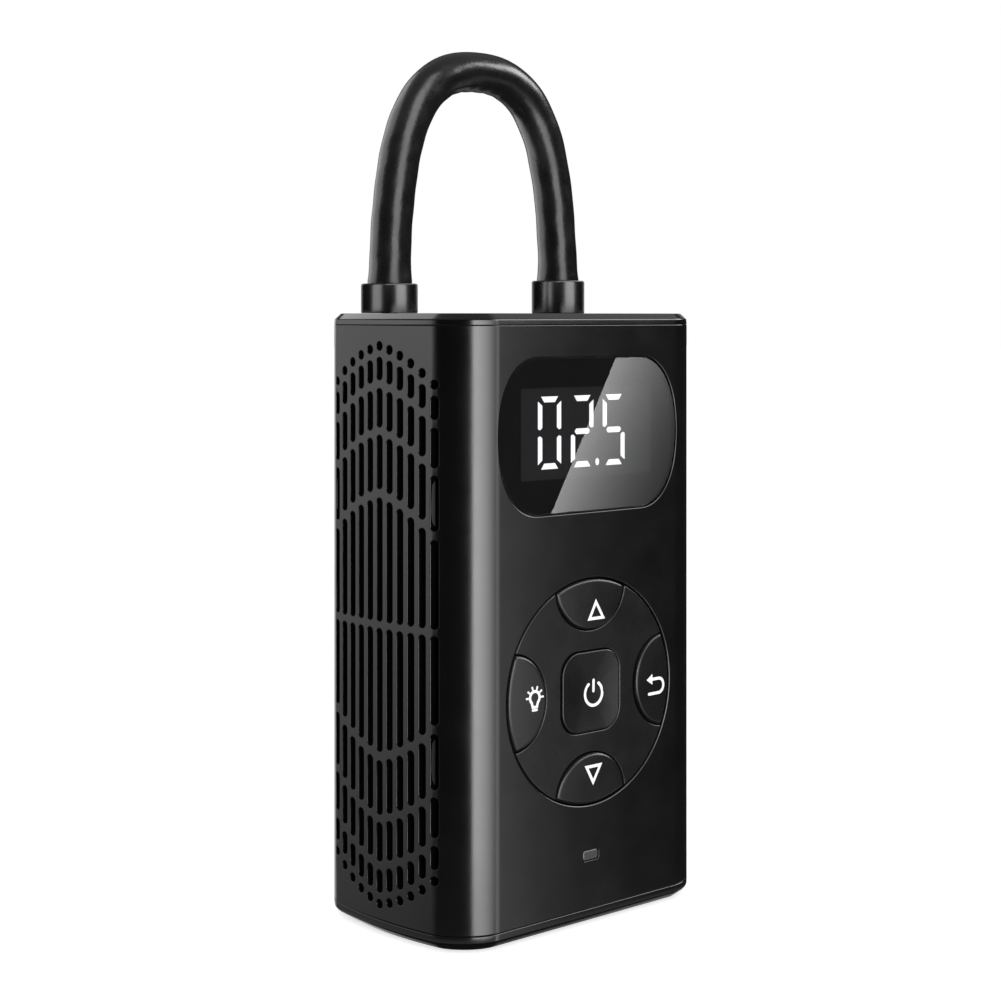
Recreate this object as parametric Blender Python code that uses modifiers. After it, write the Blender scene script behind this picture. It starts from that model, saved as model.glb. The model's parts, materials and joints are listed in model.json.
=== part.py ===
"""Cordless hand-held air pump with a looped hose, modelled as separate pieces.

The body is an upright sleeve between two caps. The frame has +Z up and -Y towards the display;
its origin is the middle of the resting face. Lengths are in metres.
"""

import math

import bmesh
import bpy
from mathutils import Vector

MM = 0.001
GAP = 0.15 * MM  # assembly gap between neighbouring pieces

# Body sleeve and caps.
HEIGHT = 124 * MM
DEPTH = 48 * MM
FLAT_WIDTH = 66.9 * MM  # across the sides at the front and rear faces
SIDE_BOW = 3.15 * MM  # how far each side bulges at mid depth
FRONT_RADIUS = 8.7 * MM
REAR_RADIUS = 11.2 * MM
WALL = 2 * MM
SEAM_LOW = 3.4 * MM
SEAM_HIGH = 121.7 * MM
CAP_LIP = 3.8 * MM  # how far each cap's lip reaches into the sleeve
LIP_INSET = WALL + GAP
LIP_WALL = 1.6 * MM
CAP_FLOOR = 2.3 * MM
TOP_CHAMFER = 1.4 * MM
TOP_CHAMFER_TALL = 1.25 * MM
BASE_CHAMFER = 1.9 * MM
BASE_CHAMFER_TALL = 1.5 * MM
PAD_PROUD = 0.3 * MM
PAD_INSET = 3.2 * MM
FRONT = -DEPTH / 2
REAR = DEPTH / 2

# Side vents: columns of slots, each a dot and four slots above and below mid height.
VENT_COLUMNS = 5  # on each side of the middle column
VENT_PITCH = 3.02 * MM
VENT_MIDDLE = -1.2 * MM
VENT_WIDTH = 1.9 * MM
VENT_CENTRE = 62 * MM
VENT_SPANS = ((0.65, 25.3), (27.0, 37.8), (39.3, 47.1), (48.7, 53.3), (54.6, 56.4))  # millimetres
SCREEN_REACH = 18 * MM
SIDE_CREASES = (-3.5, -1.5, 1.5, 3.5)  # in columns from the middle one, so each lies between two

# Display, key field and indicator on the front face.
LENS_HALF = (25.1 * MM, 15.6 * MM)
LENS_CORNER = 11 * MM
LENS_Z = 99.5 * MM
LENS_THICK = 1.2 * MM
LENS_LEDGE = 1.3 * MM
LENS_LAP = 1.5 * MM  # how far the lens rests on the shell all round
MODULE_SIZE = (36.8 * MM, 4.3 * MM, 17.6 * MM)
MODULE_X = -0.8 * MM
KEYS_Z = 47.4 * MM
FIELD_RADIUS = 22.9 * MM
FLANGE_RADIUS = 25.4 * MM
KEY_DISTANCE = 21.3 * MM
KEY_SEMI = (9.6 * MM, 8.8 * MM)
KEY_GAP = 0.2 * MM
KEY_PROUD = 0.35 * MM
KEY_SKIRT = 0.8 * MM  # how far a key's skirt reaches under the frame
FRAME_BACK = FRONT + 3.15 * MM
POWER_HALF = 8.1 * MM
POWER_RADIUS = 4.4 * MM
LED_SIZE = (4.2 * MM, 2.0 * MM)
LED_Z = 14.2 * MM
PORT_SIZE = (9.2 * MM, 3.4 * MM)
PORT_Z = 14.5 * MM
BOARD_BACK = -16.4 * MM
BOARD_FRONT = -18 * MM
BOARD_HALF = (28 * MM, 50 * MM)
BOARD_Z = 67 * MM
SWITCH_FRONT = -19.35 * MM
SWITCH_HALF = 3 * MM
SWITCH_WELL = -18.32 * MM
STEM_RADIUS = 1.1 * MM
STEM_END = -18.95 * MM
LAMP_HALF = (8 * MM, 3 * MM)

# Hose, its two ends and their sockets.
HOSE_X = 24.2 * MM
HOSE_Y = 11 * MM
HOSE_RADIUS = 4.3 * MM
HOSE_BORE = 1.9 * MM
HOSE_END_Z = 124.3 * MM
HOSE_TOP_Z = 175.7 * MM
HOSE_LEG_HANDLE = 35.5 * MM
HOSE_TOP_HANDLE = 19 * MM
SOCKET_RADIUS = 5.3 * MM
SOCKET_FLOOR = 108.8 * MM

# Drive: motor, two-gear reduction, crank and cylinder.
MOTOR_X, MOTOR_Y = -18.6 * MM, 3 * MM
MOTOR_RADIUS = 13.9 * MM
MOTOR_LOW, MOTOR_HIGH = 34 * MM, 72 * MM
SHAFT_RADIUS = 1.15 * MM
FAN_BLADES = 7
FAN_PITCH = math.radians(38)
GEAR_MODULE = 0.6 * MM
PINION_TEETH = 11
CRANK_TEETH = 46
PLATE_LOW, PLATE_HIGH = 72.15 * MM, 75.15 * MM
GEAR_LOW, GEAR_HIGH = 76.4 * MM, 80.4 * MM
CRANK_THROW = 5 * MM
ROD_LENGTH = 22 * MM
BORE_RADIUS = 9 * MM
BORE_Z = 87 * MM
BLOCK_X = (15 * MM, 28.2 * MM)
FIN_GROOVES = 4
TUBE_Z = 104.5 * MM
CRANK_X = MOTOR_X + GEAR_MODULE * (PINION_TEETH + CRANK_TEETH) / 2
PIN_X = CRANK_X - CRANK_THROW
CROWN_X = PIN_X + ROD_LENGTH + 2 * MM

# Battery cells stand behind the keys, on the right.
CELL_RADIUS = 9.15 * MM
CELL_LOW, CELL_LENGTH = 7.8 * MM, 65 * MM
CELL_PLACES = ((22 * MM, -7 * MM), (22 * MM, 11.7 * MM))
CELL_NUB = (3 * MM, 1 * MM)  # radius and height of the raised contact
CRADLE_LOW = (9.6 * MM, -16 * MM, 18 * MM)
CRADLE_HIGH = (15.6 * MM, 20.6 * MM, 66 * MM)

# Case screws, from below into bosses of the sleeve.
CASE_SCREWS = ((-27.5 * MM, -15.5 * MM), (-26 * MM, 17 * MM), (8 * MM, -17 * MM), (8 * MM, 18 * MM))
SCREW_RADIUS = 1.1 * MM
SCREW_HEAD_RADIUS = 2.2 * MM
BOSS_RADIUS = 3 * MM
BOSS_LOW = 7.6 * MM
BOSS_HIGH = 16.5 * MM
PILOT_TOP = 14.5 * MM

ROUND = 20  # sides of an ordinary cylinder

MATERIALS = {
    "shell_black": ((0.012, 0.012, 0.013), 0.28, 0.0),
    "cap_black": ((0.014, 0.014, 0.015), 0.25, 0.0),
    "key_rubber": ((0.02, 0.02, 0.021), 0.5, 0.0),
    "hose_rubber": ((0.016, 0.016, 0.016), 0.38, 0.0),
    "collar_black": ((0.012, 0.012, 0.013), 0.12, 0.0),
    "smoked_glass": ((0.01, 0.01, 0.012), 0.04, 0.0),
    "clear_lens": ((0.85, 0.87, 0.9), 0.08, 0.0),
    "brass": ((0.72, 0.5, 0.18), 0.3, 1.0),
    "steel": ((0.6, 0.6, 0.62), 0.32, 1.0),
    "aluminium": ((0.7, 0.71, 0.73), 0.4, 1.0),
    "grey_plastic": ((0.12, 0.12, 0.13), 0.55, 0.0),
    "white_nylon": ((0.8, 0.78, 0.72), 0.45, 0.0),
    "board_green": ((0.02, 0.16, 0.06), 0.5, 0.0),
    "cell_blue": ((0.05, 0.16, 0.42), 0.4, 0.0),
    "copper": ((0.75, 0.32, 0.16), 0.35, 1.0),
    "seal_rubber": ((0.05, 0.05, 0.05), 0.7, 0.0),
}


# ---------------------------------------------------------------- scene helpers


def clear_scene():
    for obj in list(bpy.data.objects):
        bpy.data.objects.remove(obj)


def new_collection(name):
    found = bpy.data.collections.new(name)
    bpy.context.scene.collection.children.link(found)
    return found


def make_materials():
    for name, (colour, roughness, metallic) in MATERIALS.items():
        mat = bpy.data.materials.new(name)
        mat.use_nodes = True
        shader = mat.node_tree.nodes["Principled BSDF"]
        shader.inputs["Base Color"].default_value = (*colour, 1)
        shader.inputs["Roughness"].default_value = roughness
        shader.inputs["Metallic"].default_value = metallic


def put(name, data, material=None, parent=None):
    """Links an object: a part if it has a material, a cutter if it has none."""
    obj = bpy.data.objects.new(name, data)
    if material:
        PARTS.objects.link(obj)
        data.materials.append(bpy.data.materials[material])
        obj.parent = parent
    else:
        CUTTERS.objects.link(obj)
        obj.hide_render = True
        obj.display_type = "WIRE"
    return obj


def weld(mesh):
    bm = bmesh.new()
    bm.from_mesh(mesh)
    bmesh.ops.remove_doubles(bm, verts=bm.verts, dist=0.001 * MM)
    bmesh.ops.recalc_face_normals(bm, faces=bm.faces)
    bm.to_mesh(mesh)
    bm.free()


def as_mesh(curve_obj, material=None, parent=None):
    """Turns a curve object into a closed mesh object of the same name, in the same place."""
    name, place = curve_obj.name, curve_obj.matrix_basis.copy()
    graph = bpy.context.evaluated_depsgraph_get()
    mesh = bpy.data.meshes.new_from_object(curve_obj.evaluated_get(graph))
    bpy.data.objects.remove(curve_obj)
    mesh.materials.clear()
    weld(mesh)
    obj = put(name, mesh, material, parent)
    obj.matrix_basis = place
    return obj


def smooth(obj, angle=40):
    obj.data.shade_smooth()
    obj.data.set_sharp_from_angle(angle=math.radians(angle))
    return obj


def boolean(obj, other, operation="DIFFERENCE"):
    mod = obj.modifiers.new(operation.lower() + "_" + other.name, "BOOLEAN")
    mod.object = other
    mod.operation = operation
    mod.solver = "EXACT"
    return obj


def cut(obj, *cutters):
    for cutter in cutters:
        boolean(obj, cutter)
    return obj


def join(obj, *pieces):
    """Adds shapes that overlap obj to it. They are helpers, not parts."""
    for piece in pieces:
        boolean(obj, piece, "UNION")
    return obj


# ---------------------------------------------------------------- shape helpers


def plate(name, outlines, low, high, axis="Z", material=None, parent=None, at=(0, 0)):
    """A flat shape between two levels along an axis. Nested outlines make holes.

    Outline points are (x, y) for axis Z, (x, z) for axis Y and (y, z) for axis X.
    """
    curve = bpy.data.curves.new(name, "CURVE")
    curve.dimensions = "2D"
    curve.fill_mode = "BOTH"
    curve.extrude = abs(high - low) / 2
    for outline in outlines:
        spline = curve.splines.new("POLY")
        spline.points.add(len(outline) - 1)
        for point, (a, b) in zip(spline.points, outline):
            point.co = (a + at[0], b + at[1], 0, 1)
        spline.use_cyclic_u = True
    obj = put(name, curve)
    middle = (low + high) / 2
    if axis == "Z":
        obj.location = (0, 0, middle)
    elif axis == "Y":
        obj.rotation_euler = (math.pi / 2, 0, 0)
        obj.location = (0, middle, 0)
    else:
        obj.rotation_euler = (math.pi / 2, 0, math.pi / 2)
        obj.location = (middle, 0, 0)
    return as_mesh(obj, material, parent)


def loft(name, sections, outline, material=None, parent=None):
    """A solid through outline(inset) at each (height, inset), closed at both ends."""
    bm = bmesh.new()
    rings = [[bm.verts.new((x, y, z)) for x, y in outline(inset)] for z, inset in sections]
    for lower, upper in zip(rings, rings[1:]):
        for i in range(len(lower)):
            j = (i + 1) % len(lower)
            bm.faces.new((lower[i], lower[j], upper[j], upper[i]))
    bm.faces.new(reversed(rings[0]))
    bm.faces.new(rings[-1])
    bmesh.ops.recalc_face_normals(bm, faces=bm.faces)
    mesh = bpy.data.meshes.new(name)
    bm.to_mesh(mesh)
    bm.free()
    return put(name, mesh, material, parent)


def turned(name, profile, place, material=None, parent=None, axis="Z", closed=False, steps=ROUND):
    """A turned shape from (radius, height) points that run down its outer side.

    An open profile starts and ends on the axis; a closed one is a ring's section.
    """
    mesh = bpy.data.meshes.new(name)
    edges = [(i, i + 1) for i in range(len(profile) - 1)]
    if closed:
        edges.append((len(profile) - 1, 0))
    mesh.from_pydata([(r, 0, h) for r, h in profile], edges, [])
    obj = put(name, mesh, material, parent)
    obj.location = place
    if axis == "X":
        obj.rotation_euler = (0, math.pi / 2, 0)
    elif axis == "Y":
        obj.rotation_euler = (-math.pi / 2, 0, 0)
    screw = obj.modifiers.new("turn", "SCREW")
    screw.steps = steps
    screw.render_steps = steps
    screw.use_merge_vertices = True
    screw.merge_threshold = 0.001 * MM
    screw.use_smooth_shade = True
    return obj


def rod(name, radius, low, high, place, material=None, parent=None, axis="Z", steps=ROUND):
    """A plain cylinder from low to high along an axis through place."""
    profile = [(0, high), (radius, high), (radius, low), (0, low)]
    return turned(name, profile, place, material, parent, axis, steps=steps)


def ring(name, outer, inner, low, high, place, material=None, parent=None, axis="Z", steps=ROUND):
    profile = [(outer, high), (outer, low), (inner, low), (inner, high)]
    return turned(name, profile, place, material, parent, axis, closed=True, steps=steps)


def box(name, low, high, material=None, parent=None):
    bpy.ops.mesh.primitive_cube_add(size=1)
    obj = bpy.context.object
    mesh = obj.data
    bpy.data.objects.remove(obj)
    size = [h - l for l, h in zip(low, high)]
    for vertex in mesh.vertices:
        vertex.co = [c * s for c, s in zip(vertex.co, size)]
    obj = put(name, mesh, material, parent)
    obj.location = [(l + h) / 2 for l, h in zip(low, high)]
    return obj


def swept(name, spline_maker, radius, resolution, material=None, parent=None):
    """A round bar along a curve, as a closed mesh."""
    curve = bpy.data.curves.new(name, "CURVE")
    curve.dimensions = "3D"
    curve.bevel_depth = radius
    curve.bevel_resolution = resolution
    curve.use_fill_caps = True
    spline_maker(curve)
    return as_mesh(put(name, curve), material, parent)


def tube(name, path, radius, bore, resolution, material, parent=None):
    """A hollow tube: path(overrun) makes the spline, longer at both ends for the bore."""
    outer = swept(name, lambda c: path(c, 0), radius, resolution, material, parent)
    inner = swept(name + "_bore", lambda c: path(c, 1 * MM), bore, resolution)
    return smooth(cut(outer, inner))


def poly_path(curve, points):
    spline = curve.splines.new("POLY")
    spline.points.add(len(points) - 1)
    for target, point in zip(spline.points, points):
        target.co = (*point, 1)


def filleted(corners, radius, steps=5):
    """Points along straight runs joined by arcs of about this radius."""
    corners = [Vector(c) for c in corners]
    points = [corners[0]]
    for before, here, after in zip(corners, corners[1:], corners[2:]):
        a, b = (before - here), (after - here)
        reach = min(radius, a.length * 0.45, b.length * 0.45)
        start, end = here + a.normalized() * reach, here + b.normalized() * reach
        for i in range(steps + 1):
            t = i / steps
            points.append(start * (1 - t) ** 2 + here * 2 * t * (1 - t) + end * t**2)
    points.append(corners[-1])
    return points


# ---------------------------------------------------------------- outlines


def in_mm(points):
    """A profile or outline that is written in millimetres."""
    return [(a * MM, b * MM) for a, b in points]


def arc(centre, radius, start, end, steps):
    """Points on an arc, angles in degrees."""
    for i in range(steps + 1):
        a = math.radians(start + (end - start) * i / steps)
        yield centre[0] + radius * math.cos(a), centre[1] + radius * math.sin(a)


def body_outline(inset=0.0, corner_steps=6):
    """The body's plan: flat front and rear, bulging sides, round corners."""
    half_w, half_d = FLAT_WIDTH / 2 - inset, DEPTH / 2 - inset
    front = max(FRONT_RADIUS - inset, 0.5 * MM)
    rear = max(REAR_RADIUS - inset, 0.5 * MM)
    right = [*arc((half_w - front, -half_d + front), front, -90, 0, corner_steps)]
    right += [(half_w, VENT_MIDDLE + VENT_PITCH * crease) for crease in SIDE_CREASES]
    right += [*arc((half_w - rear, half_d - rear), rear, 0, 90, corner_steps)]
    bulged = []
    for x, y in right:
        share = max(0.0, 1 - (y / half_d) ** 2) * (x / half_w) ** 6
        bulged.append((x + SIDE_BOW * share, y))
    return bulged + [(-x, y) for x, y in reversed(bulged)]


def lens_outline(grow=0.0, steps=10):
    """A wide window: straight top and bottom, superelliptic ends of full height."""
    power = 2 / 2.2
    half_w, half_h, corner = LENS_HALF[0] + grow, LENS_HALF[1] + grow, LENS_CORNER
    points = []
    for i in range(2 * steps + 1):
        a = math.radians(-90 + 90 * i / steps)
        c, s = abs(math.cos(a)) ** power, math.copysign(abs(math.sin(a)) ** power, math.sin(a))
        points.append((half_w - corner + corner * c, half_h * s))
    return points + [(-x, z) for x, z in reversed(points)]


def circle(radius, steps=48):
    return [*arc((0, 0), radius, 0, 360 * (steps - 1) / steps, steps - 1)]


def rounded_rect(half_w, half_h, radius, steps=4):
    corners = (
        (half_w - radius, -half_h + radius, -90),
        (half_w - radius, half_h - radius, 0),
        (-half_w + radius, half_h - radius, 90),
        (-half_w + radius, -half_h + radius, 180),
    )
    points = []
    for x, y, start in corners:
        points += arc((x, y), radius, start, start + 90, steps)
    return points


def key_outline(turn, grow=0.0, rim=FIELD_RADIUS, steps=12):
    """A key at the edge of the round field: an ellipse cut off by the field's rim.

    turn is the key's direction from the middle, in degrees anticlockwise from up.
    """
    semi_t, semi_r = KEY_SEMI[0] + grow, KEY_SEMI[1] + grow

    def ellipse(a):
        return semi_t * math.sin(a), KEY_DISTANCE - semi_r * math.cos(a)

    low, high = 0.0, math.pi
    for _ in range(40):
        middle = (low + high) / 2
        if math.hypot(*ellipse(middle)) < rim:
            low = middle
        else:
            high = middle
    points = [ellipse(-low + 2 * low * i / steps) for i in range(steps + 1)]
    end = math.degrees(math.atan2(points[-1][1], points[-1][0]))
    points += [*arc((0, 0), rim, end, 180 - end, steps // 2)][1:-1]
    c, s = math.cos(math.radians(turn)), math.sin(math.radians(turn))
    return [(x * c - y * s, x * s + y * c) for x, y in points]


def vent_outline(low, high, column):
    """One slot in (y, z), or a diamond where it is no taller than wide."""
    half, y = VENT_WIDTH / 2, VENT_MIDDLE + column * VENT_PITCH
    if high - low <= VENT_WIDTH:
        middle = (low + high) / 2
        return [(y + half, middle), (y, middle + half), (y - half, middle), (y, middle - half)]
    return [(y - half, low), (y + half, low), (y + half, high), (y - half, high)]


def vent_outlines():
    """The whole field of slots. Its rows sag away from the middle column; mid height is straight."""
    outlines = []
    for column in range(-VENT_COLUMNS, VENT_COLUMNS + 1):
        k = abs(column)
        sag = (0.57 * k + 0.18 * k * k) * MM
        for inner, outer in VENT_SPANS:
            low = inner * MM - (sag if inner > 1 else 0)
            high = outer * MM - sag
            outlines.append(vent_outline(VENT_CENTRE + low, VENT_CENTRE + high, column))
            outlines.append(vent_outline(VENT_CENTRE - high, VENT_CENTRE - low, column))
    return outlines


def gear_outline(teeth, phase=0.0, addendum=1.0, dedendum=1.25, thin=0.12):
    """A spur gear with involute flanks of 20 degrees; thin is the backlash in modules."""
    pitch = GEAR_MODULE * teeth / 2
    base = pitch * math.cos(math.radians(20))
    tip, root = pitch + addendum * GEAR_MODULE, pitch - dedendum * GEAR_MODULE

    def flank(radius):
        """Half the tooth's angle at a radius."""
        def involute(r):
            a = math.acos(min(1.0, base / r))
            return math.tan(a) - a

        half = (math.pi / 2 - thin) / teeth
        return half + involute(pitch) - involute(max(radius, base))

    radii = (root, pitch, tip)
    points = []
    for i in range(teeth):
        centre = phase + 2 * math.pi * i / teeth
        sides = [(r, -flank(r)) for r in radii] + [(r, flank(r)) for r in reversed(radii)]
        points += [(r * math.cos(centre + a), r * math.sin(centre + a)) for r, a in sides]
    return points


# ---------------------------------------------------------------- housing


def front_hole(name, outline, height):
    """A cutter through the front wall."""
    return plate(name, [outline], FRONT - 1 * MM, FRONT + 3 * MM, axis="Y", at=(0, height))


def build_shell():
    shell = plate("body_shell", [body_outline(), body_outline(WALL)], SEAM_LOW, SEAM_HIGH,
                  material="shell_black")
    vents = plate("vent_cutter", vent_outlines(), -60 * MM, 60 * MM, axis="X")
    recess = plate("lens_recess", [lens_outline(GAP)], FRONT - 1 * MM, FRONT + LENS_LEDGE, axis="Y",
                   at=(0, LENS_Z))
    window = front_hole("lens_window", lens_outline(-LENS_LAP), LENS_Z)
    field = front_hole("field_hole", circle(FIELD_RADIUS + GAP), KEYS_Z)
    led_outline = rounded_rect(LED_SIZE[0] / 2 + GAP, LED_SIZE[1] / 2 + GAP, 0.6 * MM, 2)
    led = front_hole("led_hole", led_outline, LED_Z)
    port = plate("port_hole", [rounded_rect(PORT_SIZE[0] / 2 + GAP, PORT_SIZE[1] / 2 + GAP, 1.6 * MM)],
                 REAR - 3 * MM, REAR + 1 * MM, axis="Y", at=(0, PORT_Z))
    cut(shell, vents, recess, window, field, led, port)
    for i, (x, y) in enumerate(CASE_SCREWS):
        wall = math.copysign(DEPTH / 2 - WALL / 2, y)
        boss = rod(f"boss_{i}", BOSS_RADIUS, BOSS_LOW, BOSS_HIGH, (x, y, 0), steps=12)
        rib = box(f"boss_rib_{i}", (x - 0.9 * MM, min(y, wall), BOSS_LOW + 0.3 * MM),
                  (x + 0.9 * MM, max(y, wall), BOSS_HIGH - 0.5 * MM))
        pilot = rod(f"boss_pilot_{i}", SCREW_RADIUS + GAP, 0, PILOT_TOP, (x, y, 0), steps=12)
        join(shell, boss, rib)
        cut(shell, pilot)
    smooth(shell)


def build_top_cap():
    sections = [(SEAM_HIGH - CAP_LIP, LIP_INSET), (SEAM_HIGH + GAP / 2, LIP_INSET), (SEAM_HIGH + GAP, 0),
                (HEIGHT - TOP_CHAMFER_TALL, 0), (HEIGHT, TOP_CHAMFER)]
    top = loft("top_cap", sections, body_outline, "cap_black")
    hollow = LIP_INSET + LIP_WALL
    pocket = loft("top_pocket", [(SEAM_HIGH - 8 * MM, hollow), (HEIGHT - CAP_FLOOR, hollow)], body_outline)
    holes = [rod(f"cap_hole_{i}", SOCKET_RADIUS, SEAM_LOW, HEIGHT + 1 * MM, (x, HOSE_Y, 0))
             for i, x in enumerate((-HOSE_X, HOSE_X))]
    lamp_w, lamp_d = LAMP_HALF
    lamp = plate("lamp_hole", [rounded_rect(lamp_w + GAP, lamp_d + GAP, lamp_d + GAP)], HEIGHT - 4 * MM,
                 HEIGHT + 1 * MM, at=(0, HOSE_Y))
    cut(top, pocket, *holes, lamp)
    smooth(plate("lamp_lens", [rounded_rect(lamp_w, lamp_d, lamp_d)], HEIGHT - 2.2 * MM, HEIGHT - 0.1 * MM,
                 material="clear_lens", at=(0, HOSE_Y)))


def build_bottom_cap():
    base = PAD_PROUD
    sections = [(base, BASE_CHAMFER), (base + BASE_CHAMFER_TALL, 0), (SEAM_LOW - GAP, 0),
                (SEAM_LOW - GAP / 2, LIP_INSET), (SEAM_LOW + CAP_LIP, LIP_INSET)]
    bottom = loft("bottom_cap", sections, body_outline, "cap_black")
    hollow = LIP_INSET + LIP_WALL
    well = loft("bottom_well", [(base + CAP_FLOOR, hollow), (SEAM_LOW + 8 * MM, hollow)], body_outline)
    recess = loft("pad_recess", [(-1 * MM, PAD_INSET - GAP), (base + 0.7 * MM, PAD_INSET - GAP)],
                  body_outline)
    cut(bottom, well, recess)
    for i, (x, y) in enumerate(CASE_SCREWS):
        hole = rod(f"screw_hole_{i}", SCREW_RADIUS + GAP, -1 * MM, 9 * MM, (x, y, 0), steps=12)
        sink = rod(f"screw_sink_{i}", SCREW_HEAD_RADIUS, -1 * MM, base + 1.6 * MM, (x, y, 0), steps=12)
        cut(bottom, hole, sink)
    loft("base_pad", [(0, PAD_INSET + 0.3 * MM), (PAD_PROUD, PAD_INSET), (base + 0.55 * MM, PAD_INSET)],
         body_outline, "seal_rubber")
    # A screw with a socket in its head, seen from the tip down.
    screw = in_mm([(0, 13.5), (1.1, 13.5), (1.1, 1.9), (2.0, 1.8), (2.0, 1.2), (0.7, 1.2), (0.7, 1.55),
                   (0, 1.55)])
    for i, (x, y) in enumerate(CASE_SCREWS):
        turned(f"case_screw_{i + 1}", screw, (x, y, 0), "steel", steps=12)


def build_screens():
    """Dust screens: curved sheets just inside both vented sides."""

    def run(inset):
        return [(x, y) for x, y in body_outline(inset) if x > 0 and abs(y) < SCREEN_REACH]

    outline = run(WALL + 0.35 * MM) + run(WALL + 0.8 * MM)[::-1]
    for name, sign in (("vent_screen_left", -1), ("vent_screen_right", 1)):
        sheet = [(sign * x, y) for x, y in outline]
        smooth(plate(name, [sheet], 8 * MM, 117 * MM, material="seal_rubber"))


# ---------------------------------------------------------------- display and keys


def build_display():
    smooth(plate("display_lens", [lens_outline()], FRONT + 0.05 * MM, FRONT + LENS_THICK, axis="Y",
                 material="smoked_glass", at=(0, LENS_Z)))
    w, d, h = MODULE_SIZE
    box("display_module", (MODULE_X - w / 2, BOARD_FRONT - GAP - d, LENS_Z - h / 2),
        (MODULE_X + w / 2, BOARD_FRONT - GAP, LENS_Z + h / 2), "grey_plastic")
    plate("indicator_lens", [rounded_rect(LED_SIZE[0] / 2, LED_SIZE[1] / 2, 0.5 * MM, 2)],
          FRONT + 0.1 * MM, FRONT + 3.2 * MM, axis="Y", material="clear_lens", at=(0, LED_Z))
    plate("main_board", [rounded_rect(*BOARD_HALF, 4 * MM)], BOARD_FRONT, BOARD_BACK, axis="Y",
          material="board_green", at=(0, BOARD_Z))


KEYS = (("up_button", 0), ("light_button", 90), ("down_button", 180), ("back_button", 270))


def key_centre(turn):
    a = math.radians(turn)
    return -KEY_DISTANCE * 0.8 * math.sin(a), KEYS_Z + KEY_DISTANCE * 0.8 * math.cos(a)


def build_keys():
    frame = plate("key_frame", [circle(FIELD_RADIUS)], FRONT + 0.1 * MM, FRAME_BACK, axis="Y",
                  material="key_rubber", at=(0, KEYS_Z))
    flange = plate("frame_flange", [circle(FLANGE_RADIUS)], FRONT + WALL + GAP, FRAME_BACK, axis="Y",
                   at=(0, KEYS_Z))
    join(frame, flange)
    square, wide = POWER_HALF, POWER_HALF + KEY_SKIRT
    for name, turn in KEYS:
        cut(frame, frame_hole(name, key_outline(turn, KEY_GAP, FIELD_RADIUS + KEY_GAP)))
        build_key(name, FRONT - KEY_PROUD, key_outline(turn),
                  key_outline(turn, KEY_SKIRT, FIELD_RADIUS + 1 * MM), key_centre(turn))
    cut(frame, frame_hole("power_button", rounded_rect(square + KEY_GAP, square + KEY_GAP, POWER_RADIUS)))
    build_key("power_button", FRONT + 0.1 * MM, rounded_rect(square, square, POWER_RADIUS),
              rounded_rect(wide, wide, POWER_RADIUS), (0, KEYS_Z))
    smooth(frame)


def frame_hole(name, outline):
    return plate(name + "_hole", [outline], FRONT - 1 * MM, FRAME_BACK + 1 * MM, axis="Y", at=(0, KEYS_Z))


def build_key(name, face, outline, skirt_outline, centre):
    """A key with a skirt behind the frame and a stem that meets its switch on the board."""
    back_low, back_high = FRAME_BACK + GAP, FRAME_BACK + GAP + 0.6 * MM
    x, z = centre
    key = plate(name, [outline], face, back_high, axis="Y", material="key_rubber", at=(0, KEYS_Z))
    skirt = plate(name + "_skirt", [skirt_outline], back_low, back_high, axis="Y", at=(0, KEYS_Z))
    stem = rod(name + "_stem", STEM_RADIUS, back_low, STEM_END, (x, 0, z), axis="Y", steps=12)
    smooth(join(key, skirt, stem))
    build_switch(name.replace("button", "switch"), x, z)


def build_switch(name, x, z):
    """A tact switch on the board, with a well for the key's stem."""
    half = SWITCH_HALF
    body = box(name, (x - half, SWITCH_FRONT, z - half), (x + half, BOARD_FRONT - GAP, z + half),
               "grey_plastic")
    cut(body, rod(name + "_well", STEM_RADIUS + 0.2 * MM, SWITCH_FRONT - 1 * MM, SWITCH_WELL, (x, 0, z),
                  axis="Y", steps=12))


# ---------------------------------------------------------------- hose


def hose_path(curve, overrun):
    """Up from one socket, over and down into the other, as one smooth arch."""
    spline = curve.splines.new("BEZIER")
    spline.bezier_points.add(2)
    low = HOSE_END_Z - overrun
    leg = Vector((0, 0, HOSE_LEG_HANDLE))
    top = Vector((HOSE_TOP_HANDLE, 0, 0))
    stations = (
        (Vector((-HOSE_X, HOSE_Y, low)), leg),
        (Vector((0, HOSE_Y, HOSE_TOP_Z)), top),
        (Vector((HOSE_X, HOSE_Y, low)), -leg),
    )
    for point, (place, handle) in zip(spline.bezier_points, stations):
        point.co = place
        point.handle_left_type = point.handle_right_type = "FREE"
        point.handle_left, point.handle_right = place - handle, place + handle
    curve.resolution_u = 11


def build_hose():
    tube("hose", hose_path, HOSE_RADIUS, HOSE_BORE, 3, "hose_rubber")
    grip = in_mm([(5.5, 130.2), (5.7, 130.0), (5.7, 124.15), (4.45, 124.15), (4.45, 130.2)])
    for name, x in (("outlet_collar", HOSE_X), ("free_collar", -HOSE_X)):
        turned(name, grip, (x, HOSE_Y, 0), "collar_black", closed=True, steps=32)
    build_outlet((HOSE_X, HOSE_Y, 0))
    build_free_end((-HOSE_X, HOSE_Y, 0))


def build_outlet(place):
    """The fixed end: barb, flange and threaded spigot, bored through, and the port it screws into."""
    fitting = in_mm([(1.7, 129), (1.7, 124), (5.0, 124), (5.0, 121.1), (3.4, 121.1), (3.4, 114),
                     (0.8, 114), (0.8, 129)])
    turned("outlet_fitting", fitting, place, "brass", closed=True)
    port = in_mm([(6.2, 120), (6.2, 112), (1.6, 112), (1.6, 107.4), (0.8, 107.4), (0.8, 113),
                  (3.55, 113), (3.55, 120)])
    turned("outlet_port", port, place, "brass", closed=True)


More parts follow.
